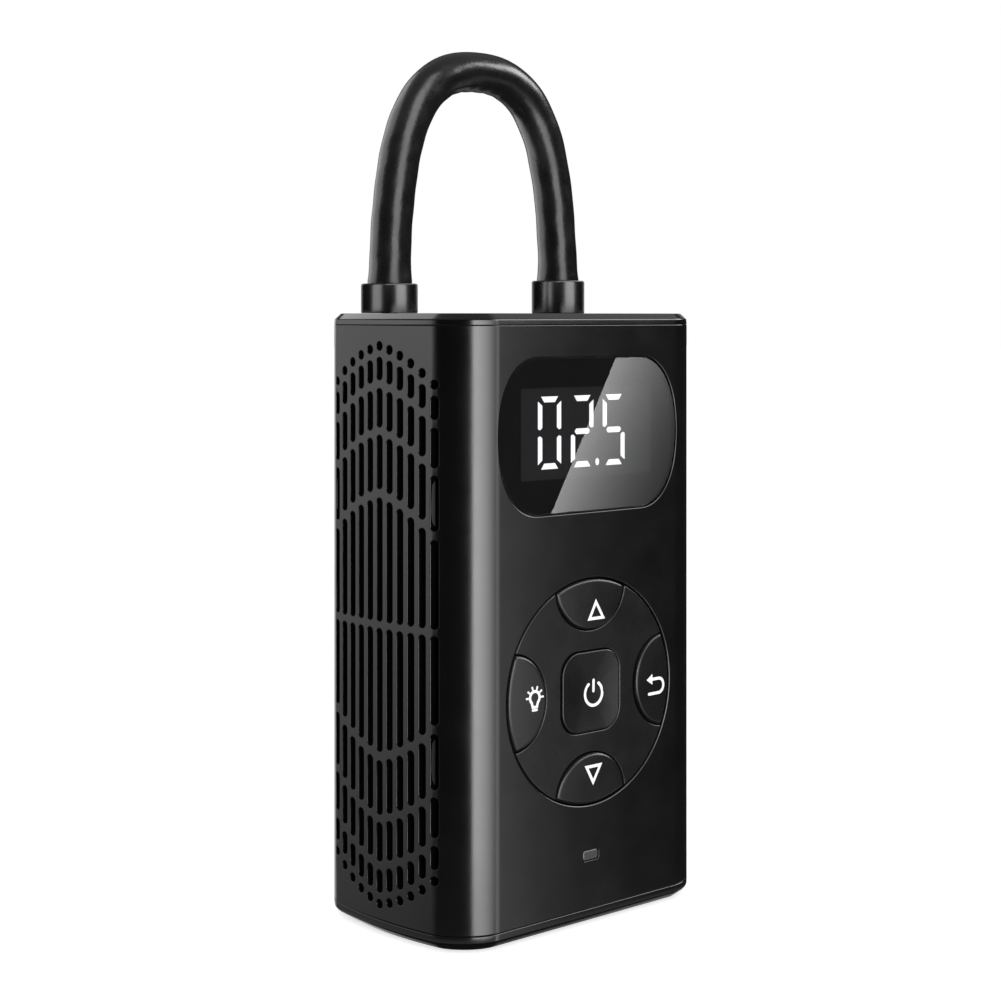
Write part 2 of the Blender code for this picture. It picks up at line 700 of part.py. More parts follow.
def build_free_end(place):
    """The loose end: a screw-on valve chuck, hollow below for the tyre valve, and its storage socket."""
    chuck = in_mm([(1.7, 129), (1.7, 124), (5.0, 124), (5.0, 110), (4.0, 110), (4.0, 119), (0.8, 119),
                   (0.8, 129)])
    turned("valve_chuck", chuck, place, "brass", closed=True)
    pin = in_mm([(0, 118.8), (2.4, 118.8), (2.4, 117.9), (0.6, 117.6), (0.6, 114.5), (0, 114.5)])
    turned("valve_pin", pin, place, "brass", steps=12)
    ring("chuck_seal", 3.85 * MM, 2.6 * MM, 116.2 * MM, 117.6 * MM, place, "seal_rubber")
    cup_top = HEIGHT - CAP_FLOOR - GAP
    outside, base = SOCKET_RADIUS + 1.2 * MM, SOCKET_FLOOR - 1.2 * MM
    cup = [(0, SOCKET_FLOOR), (SOCKET_RADIUS, SOCKET_FLOOR), (SOCKET_RADIUS, cup_top), (outside, cup_top),
           (outside, base), (0, base)]
    turned("storage_socket", cup, place, "grey_plastic")


# ---------------------------------------------------------------- drive


def build_motor():
    place = (MOTOR_X, MOTOR_Y, 0)
    r = MOTOR_RADIUS
    low, high = MOTOR_LOW, MOTOR_HIGH
    bearing = SHAFT_RADIUS + 0.07 * MM
    can = [(r, high), (r, low + 2 * MM), (r - 1.2 * MM, low + 2 * MM), (r - 1.2 * MM, high - 1.2 * MM),
           (bearing, high - 1.2 * MM), (bearing, high)]
    turned("motor_can", can, place, "steel", closed=True)
    cap = [(r - 1.4 * MM, low + 3.5 * MM), (r - 1.4 * MM, low + 1.85 * MM), (r, low + 1.85 * MM), (r, low),
           (bearing, low), (bearing, low + 3.5 * MM)]
    turned("motor_end_cap", cap, place, "grey_plastic", closed=True)
    ring("magnet_ring", r - 1.4 * MM, r - 3.4 * MM, low + 7 * MM, high - 6 * MM, place, "seal_rubber")

    rotor = bpy.data.objects.new("rotor_axis", None)
    PARTS.objects.link(rotor)
    rotor.location = place
    rod("motor_shaft", SHAFT_RADIUS, 22.5 * MM, 81 * MM, (0, 0, 0), "steel", rotor, steps=16)
    core = in_mm([(3.2, 65), (3.2, 62), (9.7, 61), (9.7, 45), (3.2, 44), (3.2, 39.5), (1.3, 39.5),
                  (1.3, 65)])
    turned("armature", core, (0, 0, 0), "copper", rotor, closed=True)
    hole = circle(SHAFT_RADIUS + GAP, 16)
    plate("pinion", [gear_outline(PINION_TEETH, addendum=0.9), hole], GEAR_LOW, GEAR_HIGH, material="steel",
          parent=rotor)
    build_fan(rotor)


def build_fan(rotor):
    hub = ring("cooling_fan", 4 * MM, SHAFT_RADIUS + GAP, 23 * MM, 31 * MM, (0, 0, 0), "white_nylon", rotor,
               steps=16)
    for i in range(FAN_BLADES):
        turn = 2 * math.pi * i / FAN_BLADES
        blade = box(f"fan_blade_{i}", (3.2 * MM, -0.45 * MM, -4.2 * MM), (12.6 * MM, 0.45 * MM, 4.2 * MM))
        blade.parent = rotor
        blade.location = (7.9 * MM * math.cos(turn), 7.9 * MM * math.sin(turn), 27 * MM)
        blade.rotation_euler = (FAN_PITCH, 0, turn)
        join(hub, blade)


def build_drive():
    plan = rounded_rect(30.5 * MM, 17.3 * MM, 6 * MM)
    shaft_hole = [(x + MOTOR_X, y + MOTOR_Y - 2 * MM) for x, y in circle(3.4 * MM, 16)]
    axle_hole = [(x + CRANK_X, y + MOTOR_Y - 2 * MM) for x, y in circle(2.15 * MM, 16)]
    cell_holes = [[(a + x, b + y - 2 * MM) for a, b in circle(4 * MM, 12)] for x, y in CELL_PLACES]
    plate("gear_plate", [plan, shaft_hole, axle_hole, *cell_holes], PLATE_LOW, PLATE_HIGH,
          material="aluminium", at=(0, 2 * MM))
    axle = in_mm([(0, 80.3), (2, 80.3), (2, 76.2), (3.5, 76.2), (3.5, 75.3), (2, 75.3), (2, 72.3), (0, 72.3)])
    turned("gear_axle", axle, (CRANK_X, MOTOR_Y, 0), "steel")

    crank = bpy.data.objects.new("crank_axis", None)
    PARTS.objects.link(crank)
    crank.location = (CRANK_X, MOTOR_Y, 0)
    # A tooth gap of the crank gear faces the pinion's tooth along the line of centres.
    phase = math.pi + math.pi / CRANK_TEETH
    pin_hole = [(x - CRANK_THROW, y) for x, y in circle(1.75 * MM, 12)]
    plate("crank_gear", [gear_outline(CRANK_TEETH, phase, addendum=0.8), circle(2.1 * MM, 16), pin_hole],
          GEAR_LOW, GEAR_HIGH, material="white_nylon", parent=crank)

    build_piston()
    build_cylinder()


def build_piston():
    """Rod and piston head in one, with its seal and the crank pin in its big end."""
    rod_body = ring("piston_rod", 5.2 * MM, 1.75 * MM, 84.5 * MM, 89.5 * MM, (PIN_X, MOTOR_Y, 0), "aluminium")
    beam = box("rod_beam", (PIN_X + 4 * MM, MOTOR_Y - 2.5 * MM, 85 * MM),
               (CROWN_X - 3 * MM, MOTOR_Y + 2.5 * MM, 89 * MM))
    crown = in_mm([(0, 0), (8.6, 0), (8.6, -0.8), (7.6, -0.8), (7.6, -2.2), (8.6, -2.2), (8.6, -4), (0, -4)])
    head = turned("piston_head", crown, (CROWN_X, MOTOR_Y, BORE_Z), axis="X")
    smooth(join(rod_body, beam, head))
    seal = in_mm([(8.9, -0.95), (8.9, -2.05), (7.75, -2.05), (7.75, -0.95)])
    turned("piston_seal", seal, (CROWN_X, MOTOR_Y, BORE_Z), "seal_rubber", axis="X", closed=True)
    pin = in_mm([(0, 91), (3.4, 91), (3.4, 89.7), (1.6, 89.7), (1.6, 80.7), (0, 80.7)])
    turned("crank_pin", pin, (PIN_X, MOTOR_Y, 0), "steel", steps=16)


def build_cylinder():
    """The finned block with its bore, the valve plate and the head that closes it."""
    low_x, high_x = BLOCK_X
    half, floor, roof = 12.5 * MM, PLATE_HIGH + GAP, 98.7 * MM
    block = box("cylinder_block", (low_x, MOTOR_Y - half, floor), (high_x, MOTOR_Y + half, roof), "aluminium")
    bore = rod("bore_cutter", BORE_RADIUS, low_x - 1 * MM, high_x + 1 * MM, (0, MOTOR_Y, BORE_Z), axis="X",
               steps=32)
    cut(block, bore)
    for i in range(FIN_GROOVES):
        x = low_x + (high_x - low_x) * (i + 1) / (FIN_GROOVES + 1)
        thin = 0.8 * MM
        outside = half + 1 * MM
        cut(block, box(f"fin_groove_{i}", (x - thin, MOTOR_Y - outside, roof - 1.4 * MM),
                       (x + thin, MOTOR_Y + outside, roof + 1 * MM)))
        for side in (-1, 1):
            near, far = sorted((MOTOR_Y + side * (half - 2 * MM), MOTOR_Y + side * outside))
            cut(block, box(f"fin_side_{i}_{side + 1}", (x - thin, near, floor + 3 * MM),
                           (x + thin, far, roof + 1 * MM)))
    wide = 10.5 * MM
    port = [(y + 4 * MM, z) for y, z in circle(1.2 * MM, 12)]
    plate("valve_plate", [rounded_rect(wide, wide, 2 * MM), port], high_x + GAP, high_x + 0.95 * MM,
          axis="X", material="steel", at=(MOTOR_Y, BORE_Z))
    build_head(high_x + 1.1 * MM, 32.2 * MM, wide)


def build_head(low_x, high_x, half):
    """The cylinder head with its nipple, and the tube from it to the outlet port."""
    head = box("cylinder_head", (low_x, MOTOR_Y - half, BORE_Z - half),
               (high_x, MOTOR_Y + half, BORE_Z + half), "aluminium")
    middle = (low_x + high_x) / 2
    nipple = rod("head_nipple", 1.5 * MM, BORE_Z + half - 1 * MM, 101.4 * MM, (middle, MOTOR_Y, 0), steps=16)
    drilling = rod("head_drilling", 0.8 * MM, BORE_Z, 105 * MM, (middle, MOTOR_Y, 0), steps=12)
    inlet = rod("head_inlet", 0.7 * MM, low_x - 1 * MM, middle, (0, MOTOR_Y, BORE_Z + 2 * MM), axis="X",
                steps=12)
    join(head, nipple)
    cut(head, drilling, inlet)

    run = filleted(((middle, MOTOR_Y, 98.5 * MM), (middle, MOTOR_Y, TUBE_Z), (HOSE_X, HOSE_Y, TUBE_Z),
                    (HOSE_X, HOSE_Y, 110.5 * MM)), 4.5 * MM)

    def path(curve, overrun):
        first, last = run[0] - Vector((0, 0, overrun)), run[-1] + Vector((0, 0, overrun))
        poly_path(curve, [first, *run[1:-1], last])

    tube("air_tube", path, 2.3 * MM, 1.75 * MM, 2, "seal_rubber")


# ---------------------------------------------------------------- power and electronics


def build_cells():
    """Two cells, and a moulded saddle that holds them apart from the motor."""
    nub_radius, nub_height = CELL_NUB
    top = CELL_LOW + CELL_LENGTH
    profile = [(0, top), (nub_radius, top), (nub_radius, top - nub_height), (CELL_RADIUS, top - nub_height),
               (CELL_RADIUS, CELL_LOW), (0, CELL_LOW)]
    saddle = box("battery_cradle", CRADLE_LOW, CRADLE_HIGH, "grey_plastic")
    for i, (x, y) in enumerate(CELL_PLACES):
        turned(f"battery_cell_{i + 1}", profile, (x, y, 0), "cell_blue")
        cut(saddle, rod(f"cradle_cut_{i}", CELL_RADIUS + GAP, 5 * MM, 80 * MM, (x, y, 0)))


def build_electronics():
    """Charging port, pressure sensor, the switch beside the stored hose end and the lamp."""
    inside = REAR - WALL
    usb = plate("usb_port", [rounded_rect(PORT_SIZE[0] / 2, PORT_SIZE[1] / 2, 1.5 * MM)],
                inside - 4.5 * MM, REAR - 0.6 * MM, axis="Y", material="steel", at=(0, PORT_Z))
    cut(usb, plate("usb_mouth", [rounded_rect(4.2 * MM, 1.3 * MM, 1.2 * MM)], inside - 3 * MM, REAR + 1 * MM,
                   axis="Y", at=(0, PORT_Z)))
    box("pressure_sensor", (-16 * MM, BOARD_BACK + GAP, 104 * MM), (-8 * MM, BOARD_BACK + 4 * MM, 111 * MM),
        "grey_plastic")
    socket_side = -HOSE_X + SOCKET_RADIUS + 1.2 * MM + GAP
    box("hose_switch", (socket_side, HOSE_Y - 3 * MM, 109 * MM), (-14.5 * MM, HOSE_Y + 3 * MM, 116 * MM),
        "grey_plastic")
    box("lamp_led", (-6 * MM, HOSE_Y - 2 * MM, HEIGHT - 4.6 * MM),
        (6 * MM, HOSE_Y + 2 * MM, HEIGHT - 2.5 * MM), "white_nylon")


clear_scene()
make_materials()
PARTS = new_collection("air_pump")
CUTTERS = new_collection("cutters")
CUTTERS.hide_render = True
build_shell()
build_top_cap()
build_bottom_cap()
build_screens()
build_display()
build_keys()
build_hose()
build_motor()
build_drive()
build_cells()
build_electronics()
bpy.context.view_layer.update()
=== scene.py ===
"""Looks of the cordless air pump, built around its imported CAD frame.

The frame has +Z up and -Y towards the display. Lengths are in metres. Azimuths here are angles in
degrees from -Y (towards the display) round to +X.
"""

import json
import math

import bmesh
import bpy
from mathutils import Matrix, Vector


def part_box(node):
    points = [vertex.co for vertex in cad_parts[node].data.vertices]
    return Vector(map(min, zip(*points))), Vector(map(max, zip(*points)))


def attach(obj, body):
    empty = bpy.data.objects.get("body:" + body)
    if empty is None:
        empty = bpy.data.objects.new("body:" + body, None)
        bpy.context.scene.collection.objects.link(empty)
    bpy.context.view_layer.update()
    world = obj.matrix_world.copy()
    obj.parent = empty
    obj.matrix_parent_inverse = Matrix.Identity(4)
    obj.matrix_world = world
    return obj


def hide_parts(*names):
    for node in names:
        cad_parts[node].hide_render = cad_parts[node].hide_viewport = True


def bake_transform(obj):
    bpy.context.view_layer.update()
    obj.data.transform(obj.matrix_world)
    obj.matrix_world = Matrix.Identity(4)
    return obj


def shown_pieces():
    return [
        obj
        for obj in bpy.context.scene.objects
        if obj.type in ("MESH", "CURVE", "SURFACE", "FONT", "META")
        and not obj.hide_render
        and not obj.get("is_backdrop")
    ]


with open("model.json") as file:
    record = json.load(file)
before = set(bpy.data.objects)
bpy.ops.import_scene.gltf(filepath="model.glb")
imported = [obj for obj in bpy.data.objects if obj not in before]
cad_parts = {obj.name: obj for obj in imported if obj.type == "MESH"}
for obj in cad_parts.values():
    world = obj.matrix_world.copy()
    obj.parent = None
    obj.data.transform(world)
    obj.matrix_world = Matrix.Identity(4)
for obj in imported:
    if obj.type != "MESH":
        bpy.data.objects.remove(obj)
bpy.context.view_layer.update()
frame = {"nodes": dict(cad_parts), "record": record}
MM = 0.001

# ---------------------------------------------------------------- driving dimensions

SHELL_LOW, SHELL_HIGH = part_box("body_shell")
CAP_LOW, CAP_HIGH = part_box("top_cap")
HEIGHT = CAP_HIGH.z
HALF_DEPTH = CAP_HIGH.y
FRONT, REAR = -HALF_DEPTH, HALF_DEPTH
SEAM_LOW, SEAM_HIGH = SHELL_LOW.z, SHELL_HIGH.z
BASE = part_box("bottom_cap")[0].z

# Plan of the body: flat front and rear, bulging sides, round corners.
FLAT_HALF = 33.45 * MM
SIDE_BOW = 3.15 * MM
FRONT_RADIUS = 8.7 * MM
REAR_RADIUS = 11.2 * MM
WALL = 2 * MM
CORNER_STEPS = 24
SIDE_STEPS = 28
EDGE = 0.22 * MM  # radius of the sleeve's rolled ends

# Caps.
SEAM_GAP = 0.02 * MM
CAP_DRAFT = 0.09 * MM
TOP_CHAMFER = (1.4 * MM, 1.2 * MM)  # inset and height
BASE_CHAMFER = (1.9 * MM, 1.5 * MM)
CAP_LIP_INSET = 2.15 * MM
CAP_LIP_REACH = 3.8 * MM
CAP_SKIN = 1.6 * MM
CAP_FLOOR = 2.3 * MM

# Side vents.
VENT_COLUMNS = 5
VENT_PITCH = 3.02 * MM
VENT_MIDDLE = -1.2 * MM
VENT_HALF = 0.925 * MM
VENT_CENTRE = 62 * MM
VENT_SPANS = ((0.65 * MM, 25.3 * MM), (27 * MM, 37.8 * MM), (39.3 * MM, 47.1 * MM), (48.7 * MM, 53.3 * MM))
VENT_DOT = 55.5 * MM
VENT_LIP = 0.13 * MM
VENT_STEPS = 10
VENT_PART = 4 * MM  # spacing of points along a slot

# Display.
LENS_HALF = (25.1 * MM, 15.6 * MM)
LENS_CORNER = 11 * MM
LENS_Z = sum(c.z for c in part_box("display_lens")) / 2
LENS_LEDGE = 1.3 * MM
LENS_LAP = 1.5 * MM
LCD_LOW, LCD_HIGH = (-18.3 * MM, 90.8 * MM), (18.55 * MM, 109.1 * MM)
DIGIT_LOW, DIGIT_HIGH = 92.9 * MM, 107.4 * MM
DIGIT_WIDTH = 6.35 * MM
DIGITS = (("digit_0", -13.75 * MM, "abcdef"), ("digit_2", -4.65 * MM, "abged"), ("digit_5", 4.4 * MM, "afgcd"))
STROKE = 1.15 * MM

# Keys.
KEYS_Z = sum(c.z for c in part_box("key_frame")) / 2
FIELD_RADIUS = 22.9 * MM
KEY_DISTANCE = 21.3 * MM
KEY_SEMI = (9.6 * MM, 8.8 * MM)
KEY_GAP = 0.15 * MM
KEY_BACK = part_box("up_button")[1].y
POWER_HALF = 8.1 * MM
POWER_RADIUS = 4.4 * MM
KEYS = {"up": 0, "light": 90, "down": 180, "back": 270}

# Hose.
HOSE_X = sum(c.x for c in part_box("outlet_collar")) / 2
HOSE_Y = sum(c.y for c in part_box("outlet_collar")) / 2
HOSE_TOP = 176.05 * MM
HOSE_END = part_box("outlet_collar")[0].z
HOSE_RADIUS = 4.3 * MM
HOSE_SWELL = 0.42 * MM
HOSE_LEG_HANDLE = 35.5 * MM
HOSE_TOP_HANDLE = 19 * MM
COLLAR_RADIUS = 5.9 * MM
COLLAR_TOPS = {"loose_grip": 130.2 * MM, "outlet_grip": 131.35 * MM}

# Camera and its place, on the object's left, level with its top.
CAMERA = Vector((-284.2 * MM, -311.8 * MM, 123.4 * MM))
CAMERA_HEADING = 42.04
CAMERA_LENS = 71.66
CAMERA_SHIFT = -0.184


# ---------------------------------------------------------------- materials


def node(tree, kind, **values):
    made = tree.nodes.new(kind)
    for name, value in values.items():
        setattr(made, name, value)
    return made


def noise(tree, place, scale, detail=3.0, roughness=0.55, stretch=None):
    """A noise value in 0..1 at a scale per metre. stretch squeezes the pattern along each axis."""
    if stretch:
        mapping = node(tree, "ShaderNodeMapping")
        mapping.inputs["Scale"].default_value = stretch
        tree.links.new(place, mapping.inputs["Vector"])
        place = mapping.outputs["Vector"]
    texture = node(tree, "ShaderNodeTexNoise")
    texture.inputs["Scale"].default_value = scale
    texture.inputs["Detail"].default_value = detail
    texture.inputs["Roughness"].default_value = roughness
    tree.links.new(place, texture.inputs["Vector"])
    return texture.outputs["Fac"]


def ranged(tree, value, low, high):
    """A noise value spread over low..high."""
    spread = node(tree, "ShaderNodeMapRange")
    spread.inputs["From Min"].default_value = 0.3
    spread.inputs["From Max"].default_value = 0.7
    spread.inputs["To Min"].default_value = low
    spread.inputs["To Max"].default_value = high
    tree.links.new(value, spread.inputs["Value"])
    return spread.outputs["Result"]


def surface(name, colour, tone, rough, grain, relief, patches=40.0, stretch=None, weave=0.0, **extra):
    """A procedural surface.

    colour and tone are mixed by soft patches; rough is the range of roughness; grain is the
    bump's scale per metre and relief its height; weave adds a woven pattern at that scale;
    extra sets other inputs of the shader.
    """
    mat = bpy.data.materials.new(name)
    mat.use_nodes = True
    tree = mat.node_tree
    shader = tree.nodes["Principled BSDF"]
    place = node(tree, "ShaderNodeTexCoord").outputs["Object"]
    broad = noise(tree, place, patches)
    blend = node(tree, "ShaderNodeMix", data_type="RGBA")
    blend.inputs["A"].default_value = (*colour, 1)
    blend.inputs["B"].default_value = (*tone, 1)
    tree.links.new(ranged(tree, broad, 0, 1), blend.inputs["Factor"])
    tree.links.new(blend.outputs["Result"], shader.inputs["Base Color"])
    fine = noise(tree, place, grain, detail=2.0, stretch=stretch)
    tree.links.new(ranged(tree, noise(tree, place, patches * 3), *rough), shader.inputs["Roughness"])
    height = fine
    if weave:
        height = woven(tree, place, weave)
    bump = node(tree, "ShaderNodeBump")
    bump.inputs["Distance"].default_value = relief
    tree.links.new(height, bump.inputs["Height"])
    tree.links.new(bump.outputs["Normal"], shader.inputs["Normal"])
    for key, value in extra.items():
        shader.inputs[key.replace("_", " ")].default_value = value
    return mat


def woven(tree, place, scale):
    """Crossed threads: the higher of two sine waves."""
    waves = []
    for axis in "YZ":
        wave = node(tree, "ShaderNodeTexWave", bands_direction=axis)
        wave.inputs["Scale"].default_value = scale
        tree.links.new(place, wave.inputs["Vector"])
        waves.append(wave.outputs["Fac"])
    highest = node(tree, "ShaderNodeMath", operation="MAXIMUM")
    tree.links.new(waves[0], highest.inputs[0])
    tree.links.new(waves[1], highest.inputs[1])
    return highest.outputs["Value"]


def grey(value, blue=1.0):
    return (value, value, value * blue)


def pane():
    """Thin tinted glass: light passes straight through and a share is mirrored."""
    mat = bpy.data.materials.new("smoked_glass")
    mat.use_nodes = True
    tree = mat.node_tree
    tree.nodes.remove(tree.nodes["Principled BSDF"])
    place = node(tree, "ShaderNodeTexCoord").outputs["Object"]
    tint = node(tree, "ShaderNodeMix", data_type="RGBA")
    tint.inputs["A"].default_value = (0.8, 0.8, 0.82, 1)
    tint.inputs["B"].default_value = (0.84, 0.84, 0.85, 1)
    clear = node(tree, "ShaderNodeBsdfTransparent")
    mirror = node(tree, "ShaderNodeBsdfAnisotropic")
    bump = node(tree, "ShaderNodeBump")
    bump.inputs["Distance"].default_value = 0.0002 * MM
    share = node(tree, "ShaderNodeFresnel")
    share.inputs["IOR"].default_value = 1.5
    inner = node(tree, "ShaderNodeMath", operation="SUBTRACT")
    inner.inputs[0].default_value = 1.0
    outside = node(tree, "ShaderNodeMath", operation="MULTIPLY")
    both = node(tree, "ShaderNodeMixShader")
    tree.links.new(ranged(tree, noise(tree, place, 60), 0, 1), tint.inputs["Factor"])
    tree.links.new(tint.outputs["Result"], clear.inputs["Color"])
    tree.links.new(ranged(tree, noise(tree, place, 90), 0.004, 0.008), mirror.inputs["Roughness"])
    tree.links.new(noise(tree, place, 300), bump.inputs["Height"])
    tree.links.new(bump.outputs["Normal"], mirror.inputs["Normal"])
    tree.links.new(node(tree, "ShaderNodeNewGeometry").outputs["Backfacing"], inner.inputs[1])
    tree.links.new(share.outputs["Fac"], outside.inputs[0])
    tree.links.new(inner.outputs["Value"], outside.inputs[1])
    tree.links.new(outside.outputs["Value"], both.inputs["Fac"])
    tree.links.new(clear.outputs["BSDF"], both.inputs[1])
    tree.links.new(mirror.outputs["BSDF"], both.inputs[2])
    tree.links.new(both.outputs["Shader"], tree.nodes["Material Output"].inputs["Surface"])
    return mat


def make_surfaces():
    """One surface for each material slot, and a few for pieces that exist only here."""
    made = {
        "shell_black": surface("shell_black", grey(0.0006), grey(0.0009), (0.18, 0.22), 6500, 0.0006 * MM),
        "cap_black": surface("cap_black", grey(0.0007), grey(0.001), (0.16, 0.2), 6500, 0.0003 * MM),
        "key_rubber": surface("key_rubber", grey(0.0014), grey(0.0022), (0.24, 0.3), 5200, 0.002 * MM,
                              Specular_IOR_Level=0.33),
        "hose_rubber": surface("hose_rubber", grey(0.0015), grey(0.003), (0.24, 0.33), 420, 0.07 * MM,
                               patches=90.0),
        "collar_black": surface("collar_black", grey(0.0006), grey(0.001), (0.25, 0.28), 3000, 0.0006 * MM),
        "smoked_glass": pane(),
        "clear_lens": surface("clear_lens", grey(0.3), grey(0.36), (0.1, 0.2), 2500, 0.004 * MM,
                              Transmission_Weight=0.35, IOR=1.49),
        "smoked_lens": surface("smoked_lens", grey(0.02), grey(0.03), (0.12, 0.2), 2500, 0.004 * MM),
        "brass": surface("brass", (0.72, 0.5, 0.2), (0.62, 0.41, 0.15), (0.2, 0.32), 3000, 0.003 * MM,
                         stretch=(1, 1, 18), Metallic=1.0),
        "steel": surface("steel", grey(0.55), grey(0.44), (0.24, 0.36), 2600, 0.003 * MM,
                         stretch=(1, 1, 14), Metallic=1.0),
        "aluminium": surface("aluminium", grey(0.62), grey(0.52), (0.34, 0.46), 2400, 0.006 * MM, Metallic=1.0),
        "grey_plastic": surface("grey_plastic", grey(0.05), grey(0.065), (0.45, 0.56), 4200, 0.006 * MM),
        "white_nylon": surface("white_nylon", (0.74, 0.72, 0.66), (0.66, 0.63, 0.56), (0.4, 0.52), 3200,
                               0.005 * MM),
        "board_green": surface("board_green", (0.012, 0.11, 0.04), (0.02, 0.15, 0.055), (0.3, 0.45), 2200,
                               0.01 * MM, patches=260.0),
        "cell_blue": surface("cell_blue", (0.03, 0.1, 0.32), (0.04, 0.13, 0.38), (0.25, 0.35), 1500, 0.006 * MM),
        "copper": surface("copper", (0.72, 0.3, 0.15), (0.6, 0.22, 0.1), (0.25, 0.38), 1800, 0.02 * MM,
                          stretch=(1, 1, 6), Metallic=1.0),
        "magnet_grey": surface("magnet_grey", grey(0.05), grey(0.075), (0.5, 0.65), 2600, 0.012 * MM),
        "seal_rubber": surface("seal_rubber", grey(0.004), grey(0.006), (0.6, 0.72), 3800, 0.008 * MM),
        "mesh_black": surface("mesh_black", grey(0.0015), grey(0.0025), (0.55, 0.7), 3800, 0.06 * MM,
                              weave=900.0),
        # The black panel glows faintly: a painted glow that stands in for light seen in the dark glass around the
        # screen.
        "panel_black_painted_glow": surface("panel_black_painted_glow", grey(0.002), grey(0.003), (0.5, 0.6), 3000, 0.001 * MM,
                               Emission_Color=(1, 1, 1, 1), Emission_Strength=0.0072),
        "lcd_grey": surface("lcd_grey", grey(0.004), grey(0.005), (0.4, 0.5), 5000, 0.001 * MM,
                            Emission_Color=(0.98, 0.99, 1, 1), Emission_Strength=0.023),
        "lit_white": surface("lit_white", grey(0.22), grey(0.26), (0.4, 0.5), 2000, 0.002 * MM,
                             Emission_Color=(1, 1, 1, 1), Emission_Strength=1.45),
        # The white print glows a little: painted light that makes the symbols brighter than the lamps alone would.
        "symbol_white_painted_glow": surface("symbol_white_painted_glow", grey(0.22), grey(0.26), (0.4, 0.5), 2000, 0.002 * MM,
                                Emission_Color=(1, 1, 1, 1), Emission_Strength=0.45),
    }
    return made


SURFACES = make_surfaces()


# ---------------------------------------------------------------- mesh helpers


def new_object(name, bm, look):
    bmesh.ops.recalc_face_normals(bm, faces=bm.faces)
    mesh = bpy.data.meshes.new(name)
    bm.to_mesh(mesh)
    bm.free()
    mesh.materials.append(SURFACES[look])
    obj = bpy.data.objects.new(name, mesh)
    bpy.context.scene.collection.objects.link(obj)
    return obj


def bridge(bm, lower, upper):
    """Side faces between two rings of the same number of vertices."""
    count = len(lower)
    for i in range(count):
        j = (i + 1) % count
        bm.faces.new((lower[i], lower[j], upper[j], upper[i]))


def add_loft(bm, rings, ends=True, closed=False):
    """Skins a run of rings of 3-D points; the run's ends are filled, or joined to each other."""
    made = [[bm.verts.new(point) for point in ring] for ring in rings]
    for lower, upper in zip(made, made[1:]):
        bridge(bm, lower, upper)
    if closed:
        bridge(bm, made[-1], made[0])
    elif ends:
        bm.faces.new(reversed(made[0]))
        bm.faces.new(made[-1])


def loft(name, rings, look, closed=False):
    bm = bmesh.new()
    add_loft(bm, rings, closed=closed)
    return new_object(name, bm, look)


def cut(obj, *cutters):
    """Cuts each cutter out of obj and removes it."""
    for cutter in cutters:
        mod = obj.modifiers.new("cut", "BOOLEAN")
        mod.object = cutter
        mod.solver = "EXACT"
    apply_modifiers(obj)
    for cutter in cutters:
        bpy.data.objects.remove(cutter)
    return obj


def apply_modifiers(obj):
    graph = bpy.context.evaluated_depsgraph_get()
    mesh = bpy.data.meshes.new_from_object(obj.evaluated_get(graph))
    obj.modifiers.clear()
    obj.data = mesh


def soften(obj, angle=35, weighted=True):
    """Smooth shading with crisp edges; the large faces set the normals."""
    obj.data.shade_smooth()
    obj.data.set_sharp_from_angle(angle=math.radians(angle))
    if weighted:
        mod = obj.modifiers.new("normals", "WEIGHTED_NORMAL")
        mod.keep_sharp = True
        mod.weight = 100
        apply_modifiers(obj)
    return obj


def place(obj, body, slot, *nodes):
    """Rides obj on a body in place of CAD nodes, which are hidden. slot is not used."""
    if nodes:
        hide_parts(*nodes)
    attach(obj, body)
    return obj


def turned(name, profile, centre, look, steps=96):
    """A ring-like solid from a closed (radius, height) section."""
    rings = []
    for i in range(steps):
        a = 2 * math.pi * i / steps
        rings.append([(centre[0] + r * math.cos(a), centre[1] + r * math.sin(a), z) for r, z in profile])
    return soften(loft(name, rings, look, closed=True), 30, weighted=False)


def in_mm(points):
    return [(a * MM, b * MM) for a, b in points]


# ---------------------------------------------------------------- outlines


def arc(centre, radius, start, end, steps):
    for i in range(steps + 1):
        a = math.radians(start + (end - start) * i / steps)
        yield centre[0] + radius * math.cos(a), centre[1] + radius * math.sin(a)


def circle(radius, steps=160, centre=(0, 0)):
    return list(arc(centre, radius, 0, 360 * (steps - 1) / steps, steps - 1))


def rounded_rect(half_w, half_h, radius, steps=10):
    points = []
    for sx, sz, start in ((1, -1, -90), (1, 1, 0), (-1, 1, 90), (-1, -1, 180)):
        points += arc((sx * (half_w - radius), sz * (half_h - radius)), radius, start, start + 90, steps)
    return points


def bulge(x, y, half_w, half_d):
    return x + SIDE_BOW * max(0.0, 1 - (y / half_d) ** 2) * (x / half_w) ** 6


def body_plan(inset=0.0):
    """The body's plan at an inset; the number of points stays the same."""
    half_w, half_d = FLAT_HALF - inset, HALF_DEPTH - inset
    front, rear = FRONT_RADIUS - inset, REAR_RADIUS - inset
    low, high = -half_d + front, half_d - rear
    right = [*arc((half_w - front, low), front, -90, 0, CORNER_STEPS)]
    right += [(half_w, low + (high - low) * i / SIDE_STEPS) for i in range(1, SIDE_STEPS)]
    right += [*arc((half_w - rear, high), rear, 0, 90, CORNER_STEPS)]
    right = [(bulge(x, y, half_w, half_d), y) for x, y in right]
    return right + [(-x, y) for x, y in reversed(right)]


def side_x(y):
    """Half the body's width at a depth."""
    x = FLAT_HALF
    for radius, past in ((FRONT_RADIUS, -HALF_DEPTH + FRONT_RADIUS - y), (REAR_RADIUS, y - HALF_DEPTH + REAR_RADIUS)):
        if past > 0:
            x = FLAT_HALF - radius + math.sqrt(radius**2 - past**2)
    return bulge(x, y, FLAT_HALF, HALF_DEPTH)


def body_ring(inset, z):
    return [(x, y, z) for x, y in body_plan(inset)]


def body_loft(name, sections, look, closed=False):
    return loft(name, [body_ring(inset, z) for inset, z in sections], look, closed)


